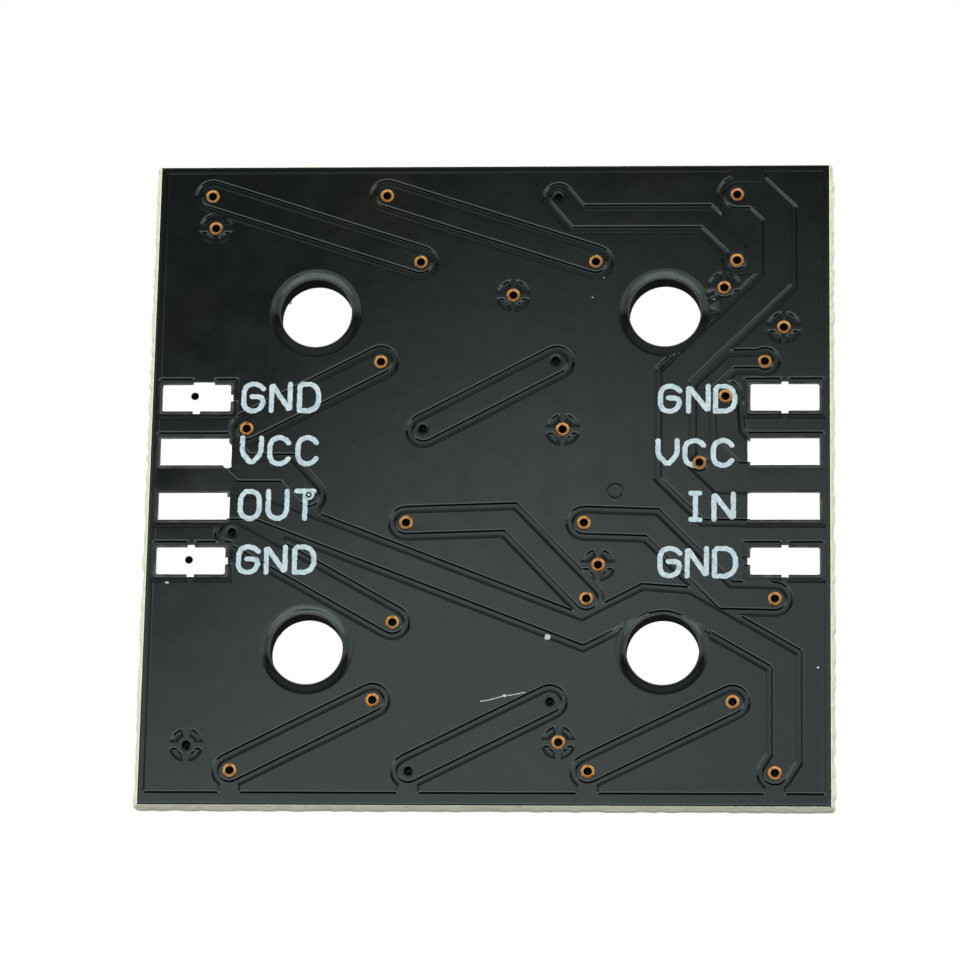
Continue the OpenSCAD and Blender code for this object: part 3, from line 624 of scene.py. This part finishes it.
# Mean and spread of the tear that all rows share, and what each row takes of it, adds and spares
TEAR_MEAN = 0.3
TEAR_SPREAD = 0.3
TEAR_SHARED = 0.95
TEAR_OWN = 0.3
TEAR_SPARED = 0.1
# Points that the shared tear and a wall are smoothed over, and that a row's own tear is
WIDE = 5
NARROW = 3
LEAST_CORNER_R = 0.001
# Rows down the wall of a mounting hole, and how rough the wall is
BORE_ROWS = 14
BORE_ROUGH = 0.03
# The laminate's materials, and their numbers on its faces
LAMINATE = ["laminate_face", "laminate_rim", "laminate_bore"]
FACE, RIM_SIDE, BORE = range(3)


def half_sizes(z):
    """Half sizes of the board at a height, wider at the snapped web between its scores."""
    into = min(z - CORE_Z, CORE_TOP_Z - z, SCORE_DEPTH) / SCORE_DEPTH
    return [f + (w - f) * into for f, w in zip(HALF_FACE, HALF_WEB)]


def square_walk():
    """Points round the square from -1 to 1, evenly spaced on the board."""
    across, up = (np.linspace(-1, 1, int(2 * half / WALK_STEP), endpoint=False)
                  for half in HALF_FACE)
    ones, right = np.ones_like(across), np.ones_like(up)
    return np.concatenate([np.stack(side, axis=1) for side in (
        (across, -ones), (right, up), (-across, ones), (-right, -up))])


def smoothed(values, width):
    """The values of a closed row, each with its neighbours."""
    kernel = np.hanning(width + 2)[1:-1]
    padded = np.concatenate([values[-width:], values, values[:width]])
    return np.convolve(padded, kernel / kernel.sum(), "same")[width:-width]


def rim_rows(walk):
    """Rows of points round the rim, from the rear face down, with the web torn inwards."""
    tear = smoothed(rng.random(len(walk)), WIDE)
    tear = np.clip((tear - tear.mean()) / tear.std() * TEAR_SPREAD + TEAR_MEAN, 0, 1)
    rows = [raised(walk * (np.array(HALF_FACE) - inset), CORE_TOP_Z - fall)
            for inset, fall in EDGE_ROWS]
    for share, rough in TORN_ROWS:
        z = CORE_Z + share * (CORE_TOP_Z - CORE_Z)
        own = smoothed(rng.random(len(walk)), NARROW)
        inwards = rough * np.clip(TEAR_SHARED * tear + TEAR_OWN * own - TEAR_SPARED, 0, 1)
        sizes = np.array(half_sizes(z)) - inwards[:, None] * (np.abs(walk) == 1) * TORN
        rows.append(raised(round_corners(walk, sizes), z))
    return rows


def round_corners(walk, sizes):
    """The square of these half sizes, with corners as round as it stands out past the faces."""
    radius = np.maximum(sizes.max(axis=0) - HALF_FACE, LEAST_CORNER_R)[0]
    past = np.abs(walk * sizes) - sizes + radius
    length = np.linalg.norm(past, axis=1)
    at_corner = (past > 0).all(axis=1) & (length > radius)
    past[at_corner] *= radius / length[at_corner, None]
    return np.sign(walk) * (sizes - radius + past)


def as_kept(rows):
    """The rows as Blender keeps them, so that points shared by two surfaces are the same."""
    return [row.astype(np.float32).astype(float) for row in rows]


def tube(rows, first, closed_outwards):
    """Faces between rows of points that go round, numbered from first."""
    faces, count = [], len(rows[0])
    for r in range(len(rows) - 1):
        a, b = first + r * count, first + (r + 1) * count
        for n in range(count):
            m = (n + 1) % count
            face = [a + n, b + n, b + m, a + m]
            faces.append(face if closed_outwards else face[::-1])
    return faces


def bore_rows(centre):
    """Rows of points down the wall of a mounting hole, rough but at its two ends."""
    rows = []
    heights = np.linspace(CORE_TOP_Z, CORE_Z, BORE_ROWS)
    for z in heights:
        ring = circle(centre, HOLE_R, HOLE_STEPS)
        worn = 1 + BORE_ROUGH * smoothed(rng.random(HOLE_STEPS), WIDE)[:, None] / HOLE_R
        end = z in (heights[0], heights[-1])
        rows.append(raised(centre + (ring - centre) * (1 if end else worn), z))
    return rows


def laminate():
    """The glass-epoxy board, with its torn rim, mounting holes and drilled vias."""
    rim = as_kept(rim_rows(square_walk()))
    bores = [as_kept(bore_rows(np.array(centre))) for centre in HOLE_PLACES]
    drilled = [loop for loop in outlines("laminate", CORE_TOP_Z - MARGIN)
               if extent(loop) < DRILLED_SIZE]
    drills = [as_kept([raised(loop, CORE_TOP_Z), raised(loop, CORE_Z)]) for loop in drilled]
    points = np.concatenate([row for rows in [rim, *bores, *drills] for row in rows])
    faces = tube(rim, 0, True)
    kinds = [RIM_SIDE] * len(faces)
    first = sum(map(len, rim))
    for rows in [*bores, *drills]:
        inward = tube(rows, first, False)
        clockwise = np.cross(rows[0][1] - rows[0][0], rows[0][2] - rows[0][1])[2] < 0
        faces += [face[::-1] for face in inward] if clockwise else inward
        kinds += [BORE] * len(inward)
        first += sum(map(len, rows))
    for z, end in ((CORE_TOP_Z, 0), (CORE_Z, -1)):
        loops = [rows[end][:, :2] for rows in [rim, *bores, *drills]]
        flat, sheet = triangulated(loops, lambda middles: inside(middles, loops))
        if end:
            sheet = sheet[:, ::-1]
        faces += (sheet + len(points)).tolist()
        kinds += [FACE] * len(sheet)
        points = np.concatenate([points, raised(flat, z)])
    make_piece("board_laminate", points, faces, LAMINATE, "laminate", ["laminate"], kinds, False)


# ---- Tin on the soldering pads

# Rise of the tin above the copper at a distance from its edge, how far it reaches into the copper,
# and how many rows of the rise fit round a via
TIN_RISE = [(0, 0.003), (0.02, 0.012), (0.06, 0.02), (0.14, 0.026), (0.26, 0.029), (0.42, 0.03)]
TIN_SUNK = 0.002
TIN_VIA_ROWS = 3
# The pads' openings and their copper lie further out along X than these
PAD_X = 10
PAD_COPPER_X = 11


def pad_tin(name, node_name, side):
    """Tin over all the copper that the mask leaves bare on one side's pads."""
    openings = [loop for loop in OPENING_LOOPS
                if extent(loop) > DRILLED_SIZE and side * middle_of(loop)[0] > PAD_X]
    vias = [loop for loop in outlines(node_name, REAR_COPPER_Z + MARGIN)
            if extent(loop) < DRILLED_SIZE]
    copper = [loop for loop in RELIEF_LOOPS if (side * loop[:, 0]).max() > PAD_COPPER_X]
    rows = moved_rows(openings, TIN_RISE) + moved_rows(copper, TIN_RISE)
    rows += moved_rows(vias, TIN_RISE[:TIN_VIA_ROWS])

    def bare(middles):
        return inside(middles, openings + vias) & inside(middles, RELIEF_LOOPS)

    flat, triangles = triangulated(rows, bare)
    away = distance_to(flat, openings + RELIEF_LOOPS + vias)
    top = REAR_COPPER_Z + curve(TIN_RISE, away)
    make_piece(name, *shell(flat, triangles, top, REAR_COPPER_Z - TIN_SUNK), ["tin"], "tin",
               [node_name])


# ---- Printed words

# The strokes of each letter, in a square from 0 to 1
LETTERS = {
    "G": [[(1, .82), (.72, 1), (.25, 1), (0, .82), (0, .16), (.25, 0), (.72, 0), (.98, .24),
           (.98, .43), (.84, .53), (.41, .53)]],
    "N": [[(0, 0), (0, 1), (1, 0), (1, 1)]],
    "D": [[(0, 0), (0, 1), (.7, 1), (1, .72), (1, .24), (.68, 0), (0, 0)]],
    "V": [[(0, 1), (0, .42), (.5, 0), (1, .42), (1, 1)]],
    "C": [[(1, .8), (.75, 1), (.27, 1), (0, .8), (0, .2), (.27, 0), (.75, 0), (1, .2)]],
    "O": [[(.27, 1), (0, .8), (0, .2), (.27, 0), (.73, 0), (1, .2), (1, .8), (.73, 1), (.27, 1)]],
    "U": [[(0, 1), (0, .2), (.27, 0), (.73, 0), (1, .2), (1, 1)]],
    "T": [[(0, 1), (1, 1)], [(.5, 1), (.5, 0)]],
    "I": [[(0, 1), (1, 1)], [(.5, 1), (.5, 0)], [(0, 0), (1, 0)]],
}
# Each word with its top and bottom, and the left and right side of each of its letters
PRINTED = [
    ("GND", 4.58, 3.1, [(-11.1, -10.0), (-9.86, -8.8), (-8.6, -7.52)]),
    ("VCC", 2.05, .6, [(-11.1, -10.03), (-9.86, -8.8), (-8.6, -7.55)]),
    ("OUT", -.45, -1.95, [(-11.1, -10.03), (-9.86, -8.8), (-8.6, -7.6)]),
    ("GND", -3.05, -4.45, [(-11.1, -10.0), (-9.86, -8.8), (-8.6, -7.52)]),
    ("GND", 4.45, 3.05, [(7.57, 8.65), (8.82, 9.92), (10.02, 11.1)]),
    ("VCC", 1.9, .53, [(7.47, 8.55), (8.67, 9.73), (9.93, 10.98)]),
    ("I", -.55, -2.0, [(8.95, 9.57)]), ("N", -.58, -1.98, [(9.97, 11.05)]),
    ("GND", -3.12, -4.6, [(7.6, 8.7), (8.8, 9.87), (10.0, 11.15)]),
]
STROKE_R = 0.113
STROKE_STEP = 0.1
# Turns of the points round the end of a stroke, and how uneven its outline is
STROKE_END = np.radians(np.arange(-67.5, 90, 22.5))
UNEVEN = 0.006
# Distance between points on the ink, how far it reaches into the mask, and its height at a
# distance from its edge, as a share
INK_GRID = 0.07
INK_SUNK = 0.004
INK_EDGE = [(0, 0.35), (0.03, 1)]
# Radius round an open via that the ink leaves free, radii of the ring of ink round the inked via,
# and how far from a letter a via still counts
INKLESS_R = 0.31
INK_RING_RADII = (0.245, 0.135, 0.065)
NEAR_LETTER = 0.4


def corners_cut(line, size, cut=0.12, most=0.45):
    """The line of a letter at its real size, with each corner cut in two."""
    spots = [size * np.array(p) for p in line]
    made = [spots[0]]
    for before, spot, after in zip(spots, spots[1:], spots[2:]):
        for other in (before, after):
            length = np.linalg.norm(other - spot)
            made.append(spot + (other - spot) * min(cut / length, most))
    return made + [spots[-1]]


def stroke_outline(a, b):
    """The outline of a stroke with round ends, slightly uneven as printed ink is."""
    along = (b - a) / np.linalg.norm(b - a)
    side = np.array([-along[1], along[0]])
    steps = max(2, int(np.linalg.norm(b - a) / STROKE_STEP))

    def half(a, b, reach):
        edge = [a + (b - a) * n / steps - side * reach for n in range(steps + 1)]
        return edge + [b + reach * (along * math.cos(t) + side * math.sin(t)) for t in STROKE_END]

    outline = np.array(half(a, b, STROKE_R) + half(b, a, -STROKE_R))
    return outline + rng.normal(0, UNEVEN, outline.shape)


def inked(rows, covered):
    """Ink within the outlines, where covered(points) is true, following the mask below it."""
    spots = np.concatenate(rows)
    ticks = [np.arange(*span, INK_GRID) for span in zip(spots.min(axis=0), spots.max(axis=0))]
    grid = np.stack(np.meshgrid(*ticks), axis=-1).reshape(-1, 2)
    flat, triangles = triangulated(rows, covered, grid[covered(grid)])
    ground = mask_height(flat)
    rise = INK_T * curve(INK_EDGE, distance_to(flat, rows))
    return shell(flat, triangles, ground + rise, ground - INK_SUNK)


def joined(parts):
    """The points and faces of several parts as one."""
    points, faces = [], []
    for own_points, own_faces in parts:
        faces += [[n + len(points) for n in face] for face in own_faces]
        points += list(own_points)
    return points, faces


def printed_letter(letter, left, right, top, bottom):
    """The ink of one letter, which leaves the vias free."""
    low = np.array([left + PATTERN_X + STROKE_R, bottom + STROKE_R])
    size = np.array([right - left, top - bottom]) - 2 * STROKE_R
    strokes = []
    for line in LETTERS[letter]:
        spots = [low + spot for spot in corners_cut(line, size)]
        strokes += [stroke_outline(a, b) for a, b in zip(spots, spots[1:])]
    near = [circle(via, INK_RING_RADII[0] if is_inked(via) else INKLESS_R, VIA_STEPS)
            for via in VIA_PLACES if (np.abs(via - low - size / 2) < size / 2 + NEAR_LETTER).all()]

    def covered(points):
        marked = np.any([inside(points, [row]) for row in strokes], axis=0)
        return marked & ~inside(points, near) if near else marked

    return inked(strokes + near, covered)


def printed_words():
    """The ink of all words, and the ring round the via in one letter."""
    parts = [printed_letter(letter, *sides, top, bottom)
             for word, top, bottom, places in PRINTED for letter, sides in zip(word, places)]
    ring = [circle(INKED_VIA, radius, OPENING_STEPS) for radius in INK_RING_RADII]
    parts.append(inked(ring, lambda points: inside(points, ring)))
    make_piece("printed_words", *joined(parts), ["ink"], "solder_mask")


# ---- Dust on the mask

# The middle of each speck, and its half sizes along X and Y
SPECKS = [((-14.14, -4.82), 0.09, 0.045), ((14.65, -8.67), 0.05, 0.05), ((5.1, 9.5), 0.03, 0.03),
          ((4.6, 8.55), 0.04, 0.03), ((10.05, 8.45), 0.045, 0.03), ((2.8, -7.3), 0.15, 0.13),
          ((0.93, -9.98), 0.09, 0.07)]
# Points round a speck, how uneven its rim is, and its shares and heights above the mask
SPECK_STEPS = 14
SPECK_UNEVEN = 0.12
SPECK_ROWS = [(1.0, -0.004), (0.9, 0.005), (0.5, 0.0078)]
FIBRE = [(-0.2, -10.25), (0.25, -10.18), (0.6, -10.08), (0.93, -9.98), (1.4, -9.93), (1.9, -9.8)]
FIBRE_R = 0.022
FIBRE_ROWS = 26
FIBRE_STEPS = 8
# How thin the fibre's ends are, and how high it lies on the mask, as shares of its radius
FIBRE_END = 0.4
FIBRE_RISE = 0.6


def end_faces(rings):
    """The faces that close the first and the last ring."""
    steps, last = len(rings[0]), (len(rings) - 1) * len(rings[0])
    return [list(range(steps - 1, -1, -1)), list(range(last, last + steps))]


def closed_rings(rings):
    """Points and faces of rings that follow each other, with both ends closed."""
    steps = len(rings[0])
    faces = []
    for a in range(0, (len(rings) - 1) * steps, steps):
        faces += [[a + n, a + (n + 1) % steps, a + steps + (n + 1) % steps, a + steps + n]
                  for n in range(steps)]
    return np.concatenate(rings), faces + end_faces(rings)


def speck(middle, half_x, half_y):
    """A flat rounded crumb, uneven round its rim."""
    turns = turns_round(SPECK_STEPS)
    uneven = 1 + rng.normal(0, SPECK_UNEVEN, SPECK_STEPS)
    rim = np.stack([half_x * np.cos(turns), half_y * np.sin(turns)], axis=1)
    return closed_rings([raised(middle + rim * (share * uneven)[:, None], MASK_Z + height)
                         for share, height in SPECK_ROWS])


def fibre():
    """A thin curved fibre that lies on the mask."""
    line = np.array(FIBRE) + [PATTERN_X, 0]
    fine = np.linspace(0, len(line) - 1, FIBRE_ROWS)
    smooth = np.stack([smoothed_line(np.interp(fine, range(len(line)), line[:, k]))
                       for k in (0, 1)], axis=1)
    turns = turns_round(FIBRE_STEPS)
    rings = []
    for n, a in enumerate(smooth):
        along = smooth[n + 1] - a if n < FIBRE_ROWS - 1 else a - smooth[n - 1]
        side = np.array([-along[1], along[0]]) / np.linalg.norm(along)
        radius = FIBRE_R * (FIBRE_END if n in (0, FIBRE_ROWS - 1) else 1)
        ring = a + side * (radius * np.cos(turns))[:, None]
        height = mask_height(a[None])[0] + FIBRE_R * FIBRE_RISE + radius * np.sin(turns)
        rings.append(raised(ring, np.minimum(height, REAR_FACE_Z)))
    return closed_rings(rings)


def smoothed_line(values):
    """The values of an open row, each as the mean of five."""
    return np.convolve(np.pad(values, 2, "edge"), np.ones(5) / 5, "valid")


def dust():
    parts = [speck(np.array(centre) + [PATTERN_X, 0], *half) for centre, *half in SPECKS]
    make_piece("dust", *joined([*parts, fibre()]), ["dust"], "solder_mask")


# ---- The LEDs and capacitors on the front

# The LEDs stand in this many rows and columns, and one is turned round
LEDS_ACROSS = 4
TURNED_LED = 7
CUP_STEPS = 64
# Places in the cup of an LED in millimetres, seen from the rear, as in the CAD
CUP_FLOOR_Z = 0.85
CUP_R = 2.05
CUP_FLOOR_R = 1.75
EMITTER_Z = 0.75
DRIVER_Z = 0.69
# Fall of the resin's face below the rim of its cup, at a share of its radius
MENISCUS = [(0, 0.09), (0.3, 0.085), (0.55, 0.075), (0.75, 0.06), (0.88, 0.045), (0.96, 0.033),
            (1, 0.03)]
# How far the resin reaches into the plastic and metal that it wets
WETTED = 0.004
# Each bond wire from the chip where it starts to where it ends
WIRES = [((-0.88, 0.46, EMITTER_Z), (0.14, -0.08, DRIVER_Z)),
         ((-0.35, 0.46, EMITTER_Z), (0.32, -0.08, DRIVER_Z)),
         ((0.18, 0.46, EMITTER_Z), (0.5, -0.08, DRIVER_Z)),
         ((-0.88, 0.58, EMITTER_Z), (-1.05, 1.27, CUP_FLOOR_Z)),
         ((-0.35, 0.58, EMITTER_Z), (-0.96, 1.21, CUP_FLOOR_Z)),
         ((0.86, -0.08, DRIVER_Z), (1.03, 1.28, CUP_FLOOR_Z)),
         ((0.87, -0.62, DRIVER_Z), (1.05, -1.27, CUP_FLOOR_Z)),
         ((0.12, -0.62, DRIVER_Z), (-0.55, -0.66, CUP_FLOOR_Z))]
WIRE_R = 0.014
WIRE_ROWS = 13
WIRE_STEPS = 6
# Height of a wire's arch, how soon it rises, and how many times as thick its ball is
WIRE_ARCH = 0.17
WIRE_SOON = 0.6
WIRE_BALL = 2.4
# A capacitor's rounding on its ceramic and on its ends, the length of an end, and how far an end
# stands out
CERAMIC_ROUND = 0.03
END_ROUND = 0.07
END_LENGTH = 0.34
END_LIP = 0.02
CERAMIC, TINNED = range(2)


def at_leds(points, faces):
    """A part of one LED, given round its middle, at each of the LEDs."""
    parts = []
    half = (LEDS_ACROSS - 1) / 2
    for n in range(LEDS_ACROSS ** 2):
        row, column = divmod(n, LEDS_ACROSS)
        turn = [-1, -1, 1] if n == TURNED_LED else [1, 1, 1]
        middle = [PATTERN_X + (column - half) * PITCH, (half - row) * PITCH, 0]
        parts.append((np.array(points) * turn + middle, faces))
    return parts


def resin():
    """The clear resin in the cup of an LED, drawn up at its rim."""
    slope = (CUP_R - CUP_FLOOR_R) / CUP_FLOOR_Z
    rings = [(share * (CUP_R - slope * fall + WETTED), fall) for share, fall in MENISCUS[1:]]
    rings.append((CUP_FLOOR_R + WETTED, CUP_FLOOR_Z + WETTED))
    rows = [raised(circle((0, 0), radius, CUP_STEPS), z) for radius, z in rings]
    centre = len(rows) * CUP_STEPS
    faces = tube(rows, 0, False)
    faces += [[centre, (n + 1) % CUP_STEPS, n] for n in range(CUP_STEPS)]
    faces.append(list(range(centre - CUP_STEPS, centre)))
    return np.concatenate([*rows, [[0, 0, MENISCUS[0][1]]]]), faces


def resin_windows():
    names = [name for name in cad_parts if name.startswith("led_window")]
    make_piece("led_resin", *joined(at_leds(*resin())), ["led_window"], "led_window", names)


def bond_wire(start, end):
    """A gold wire with a ball where it starts, arched over to where it is stitched down."""
    start, end = np.array(start), np.array(end)
    share = np.linspace(0, 1, WIRE_ROWS)
    line = start + share[:, None] * (end - start)
    line[:, 2] -= WIRE_ARCH * np.sin(math.pi * share ** WIRE_SOON)
    along = np.gradient(line, axis=0)
    along /= np.linalg.norm(along, axis=1)[:, None]
    side = np.cross(end - start, [0, 0, 1])
    side /= np.linalg.norm(side)
    turns = turns_round(WIRE_STEPS)[:, None]
    rings = []
    for n, spot in enumerate(line):
        radius = WIRE_R * (WIRE_BALL if n == 0 else 1)
        across = np.cross(along[n], side)
        rings.append(spot + radius * (np.cos(turns) * side + np.sin(turns) * across))
    return np.concatenate(rings), tube(rings, 0, False) + end_faces(rings)


def bond_wires():
    parts = [part for places in WIRES for part in at_leds(*bond_wire(*places))]
    make_piece("bond_wires", *joined(parts), ["gold_wire"], "copper")


def rounded_box(low, high, rounding):
    """Points and faces of a box with rounded edges."""
    made = bmesh.new()
    bmesh.ops.create_cube(made, size=1)
    for corner in made.verts:
        corner.co = [low[k] if corner.co[k] < 0 else high[k] for k in range(3)]
    bmesh.ops.bevel(made, geom=made.edges[:], offset=rounding, segments=3, profile=0.5,
                    affect="EDGES")
    made.verts.index_update()
    points = [tuple(corner.co) for corner in made.verts]
    faces = [[corner.index for corner in face.verts] for face in made.faces]
    made.free()
    return points, faces


def capacitors():
    """Ceramic blocks with rounded tinned ends."""
    names = [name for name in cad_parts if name.startswith("capacitor")]
    parts, kinds = [], []
    for name in names:
        low, high = (np.array(corner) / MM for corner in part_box(name))
        axis = int(np.argmax((high - low)[:2]))
        inset = np.full(3, END_LIP)
        inset[axis] = END_LENGTH / 2
        low_end, high_end = high.copy(), low.copy()
        low_end[axis] = low[axis] + END_LENGTH
        high_end[axis] = high[axis] - END_LENGTH
        for kind, *box in ((CERAMIC, low + inset, high - inset, CERAMIC_ROUND),
                           (TINNED, low, low_end, END_ROUND), (TINNED, high_end, high, END_ROUND)):
            parts.append(rounded_box(*box))
            kinds += [kind] * len(parts[-1][1])
    make_piece("capacitors", *joined(parts), ["capacitor", "solder"], "capacitor", names, kinds)


# ---- Setting

# The camera's place in metres, its turn in degrees, and its lens in millimetres
CAMERA_PLACE = (0.013143, -0.066854, 0.212832)
CAMERA_TURN = (17.67594, 3.35314, 1.04149)
CAMERA_LENS = 186.18


def camera():
    data = bpy.data.cameras.new("camera")
    data.lens = CAMERA_LENS
    data.sensor_width = 36
    data.clip_start, data.clip_end = 0.01, 10
    made = in_scene("camera", data)
    made.location = CAMERA_PLACE
    made.rotation_euler = Euler([math.radians(a) for a in CAMERA_TURN])
    bpy.context.scene.camera = made


WHITE = (1, 1, 1, 1)
FLOOR_HALF = 2.0
FLOOR_GLOW = 0.5


def floor():
    """A white floor that glows evenly, and is clear from below."""
    mesh = bpy.data.meshes.new("floor")
    corners = [(x * FLOOR_HALF, y * FLOOR_HALF, 0) for x, y in ((-1, -1), (1, -1), (1, 1), (-1, 1))]
    mesh.from_pydata(corners, [], [(0, 1, 2, 3)])
    made = bpy.data.materials.new("floor")
    tree = bare_tree(made)
    seen = node(tree, "LightPath").outputs["Is Camera Ray"]
    glow = node(tree, "Emission", Color=WHITE,
                Strength=smooth_step(tree, seen, 0, 1, FLOOR_GLOW, 1))
    below = node(tree, "NewGeometry").outputs["Backfacing"]
    show_mixed(tree, "OutputMaterial", below, glow, node(tree, "BsdfTransparent"))
    mesh.materials.append(made)
    piece = in_scene("floor", mesh)


SKY_COLOUR = (0.84, 1, 1, 1)
# The parts of the sky: two directions along X, Y or Z, and the part's strength at each
SKY_PARTS = {"broad": (0.05, 0.12, 1.34, 0.0), "first": (0.297, 0.336, 0.64, 0.0),
             "second": (0.338, 0.362, 0.52, 0.13), "behind": (0.42, 0.58, 0.0, 0.24),
             "front": (-0.9, -0.8, 0.14, 0.02), "above": (-0.02, 0.02, 0.0, 1.0),
             "left": (-0.045, 0.012, 1.0, 0.7), "right": (0.03, 0.07, 0.0, 0.3),
             "slant": (-0.2, -0.14, 0.0, 1.0)}
# Where the whole band fades: the axis, two directions along it, and the share of light at each
SKY_FADES = [("Y", -0.32, -0.2, 0.0, 1.0), ("X", -0.72, -0.5, 0.3, 1.0),
             ("X", -0.4, -0.14, 0.85, 1.0), ("X", 0.1, 0.45, 1.0, 0.62)]
# Left of this the band's rear edges come nearer, by the square of the way times this, up to this
SLANT_X = -0.045
SLANT_GROWTH = 10.0
SLANT_MOST = 0.06


def sky_strength(tree):
    """A broad band of light from left to right, with dim steps behind it and dark before it."""
    axes = node(tree, "SeparateXYZ", Vector=node(tree, "TexCoord").outputs["Generated"]).outputs
    x, y = axes["X"], axes["Y"]

    def plus(a, b):
        return maths(tree, "ADD", a, b)

    def times(a, b):
        return maths(tree, "MULTIPLY", a, b)

    def part(name, value):
        return smooth_step(tree, value, *SKY_PARTS[name])

    aside = maths(tree, "MAXIMUM", maths(tree, "SUBTRACT", SLANT_X, x), 0.0)
    slant = times(maths(tree, "POWER", aside, 2.0), SLANT_GROWTH)
    back = plus(y, times(maths(tree, "MINIMUM", slant, SLANT_MOST), part("slant", x)))
    lit = plus(part("first", back), part("second", back))
    lit = times(lit, plus(part("left", x), part("right", x)))
    lit = plus(plus(lit, part("behind", y)), part("broad", back))
    for axis, *fade in SKY_FADES:
        lit = times(lit, smooth_step(tree, axes[axis], *fade))
    above = part("above", axes["Z"])
    return plus(times(plus(lit, part("front", y)), above), maths(tree, "SUBTRACT", 1.0, above))


def soft_light():
    """The sky as the light of the scene, with a plain white background."""
    world = bpy.data.worlds.new("studio")
    bpy.context.scene.world = world
    tree = bare_tree(world)
    light = node(tree, "Background", Color=SKY_COLOUR, Strength=sky_strength(tree))
    white = node(tree, "Background", Color=WHITE, Strength=1.0)
    seen = node(tree, "LightPath").outputs["Is Camera Ray"]
    show_mixed(tree, "OutputWorld", seen, light, white)
    bpy.context.scene.view_settings.view_transform = "Standard"


# Where the lamps stand, in metres, their size, and the strength of each
LAMP_AWAY = (-0.05, 0.2, 0.57)
LAMP_SIZE = 0.3
PRINT_WATTS = 1.0
LAMINATE_WATTS = 2.8


def lamp(watts, *lit):
    """A soft lamp above, that lights the named pale pieces only."""
    data = bpy.data.lights.new("lamp", "AREA")
    data.size = LAMP_SIZE
    data.energy = watts
    made = in_scene("lamp", data)
    made.location = LAMP_AWAY
    made.rotation_euler = Vector(LAMP_AWAY).to_track_quat("Z", "Y").to_euler()
    receivers = bpy.data.collections.new("lamp_lit")
    for name in lit:
        receivers.objects.link(bpy.data.objects[name])
    made.light_linking.receiver_collection = receivers


# The material of each kind of CAD node that stays, by the start of its name
DRESS = {"front_copper": "copper", "via_": "via", "front_solder_mask": "mask",
         "led_leads": "silver_plate", "led_driver": "silicon", "led_emitter": "emitter",
         "led_housing": "led_housing", "solder_joints": "solder"}


def dress():
    """Gives the CAD nodes that stay their materials."""
    for prefix, material in DRESS.items():
        for name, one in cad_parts.items():
            if name.startswith(prefix):
                one.data.materials.clear()
                one.data.materials.append(MATERIALS[material])


camera()
floor()
soft_light()
rear_mask()
laminate()
rear_copper()
pad_tin("input_pads", "input_pad_tin", 1)
pad_tin("output_pads", "output_pad_tin", -1)
printed_words()
dust()
resin_windows()
bond_wires()
capacitors()
lamp(PRINT_WATTS, "input_pads", "output_pads", "printed_words", "dust")
lamp(LAMINATE_WATTS, "board_laminate")
dress()
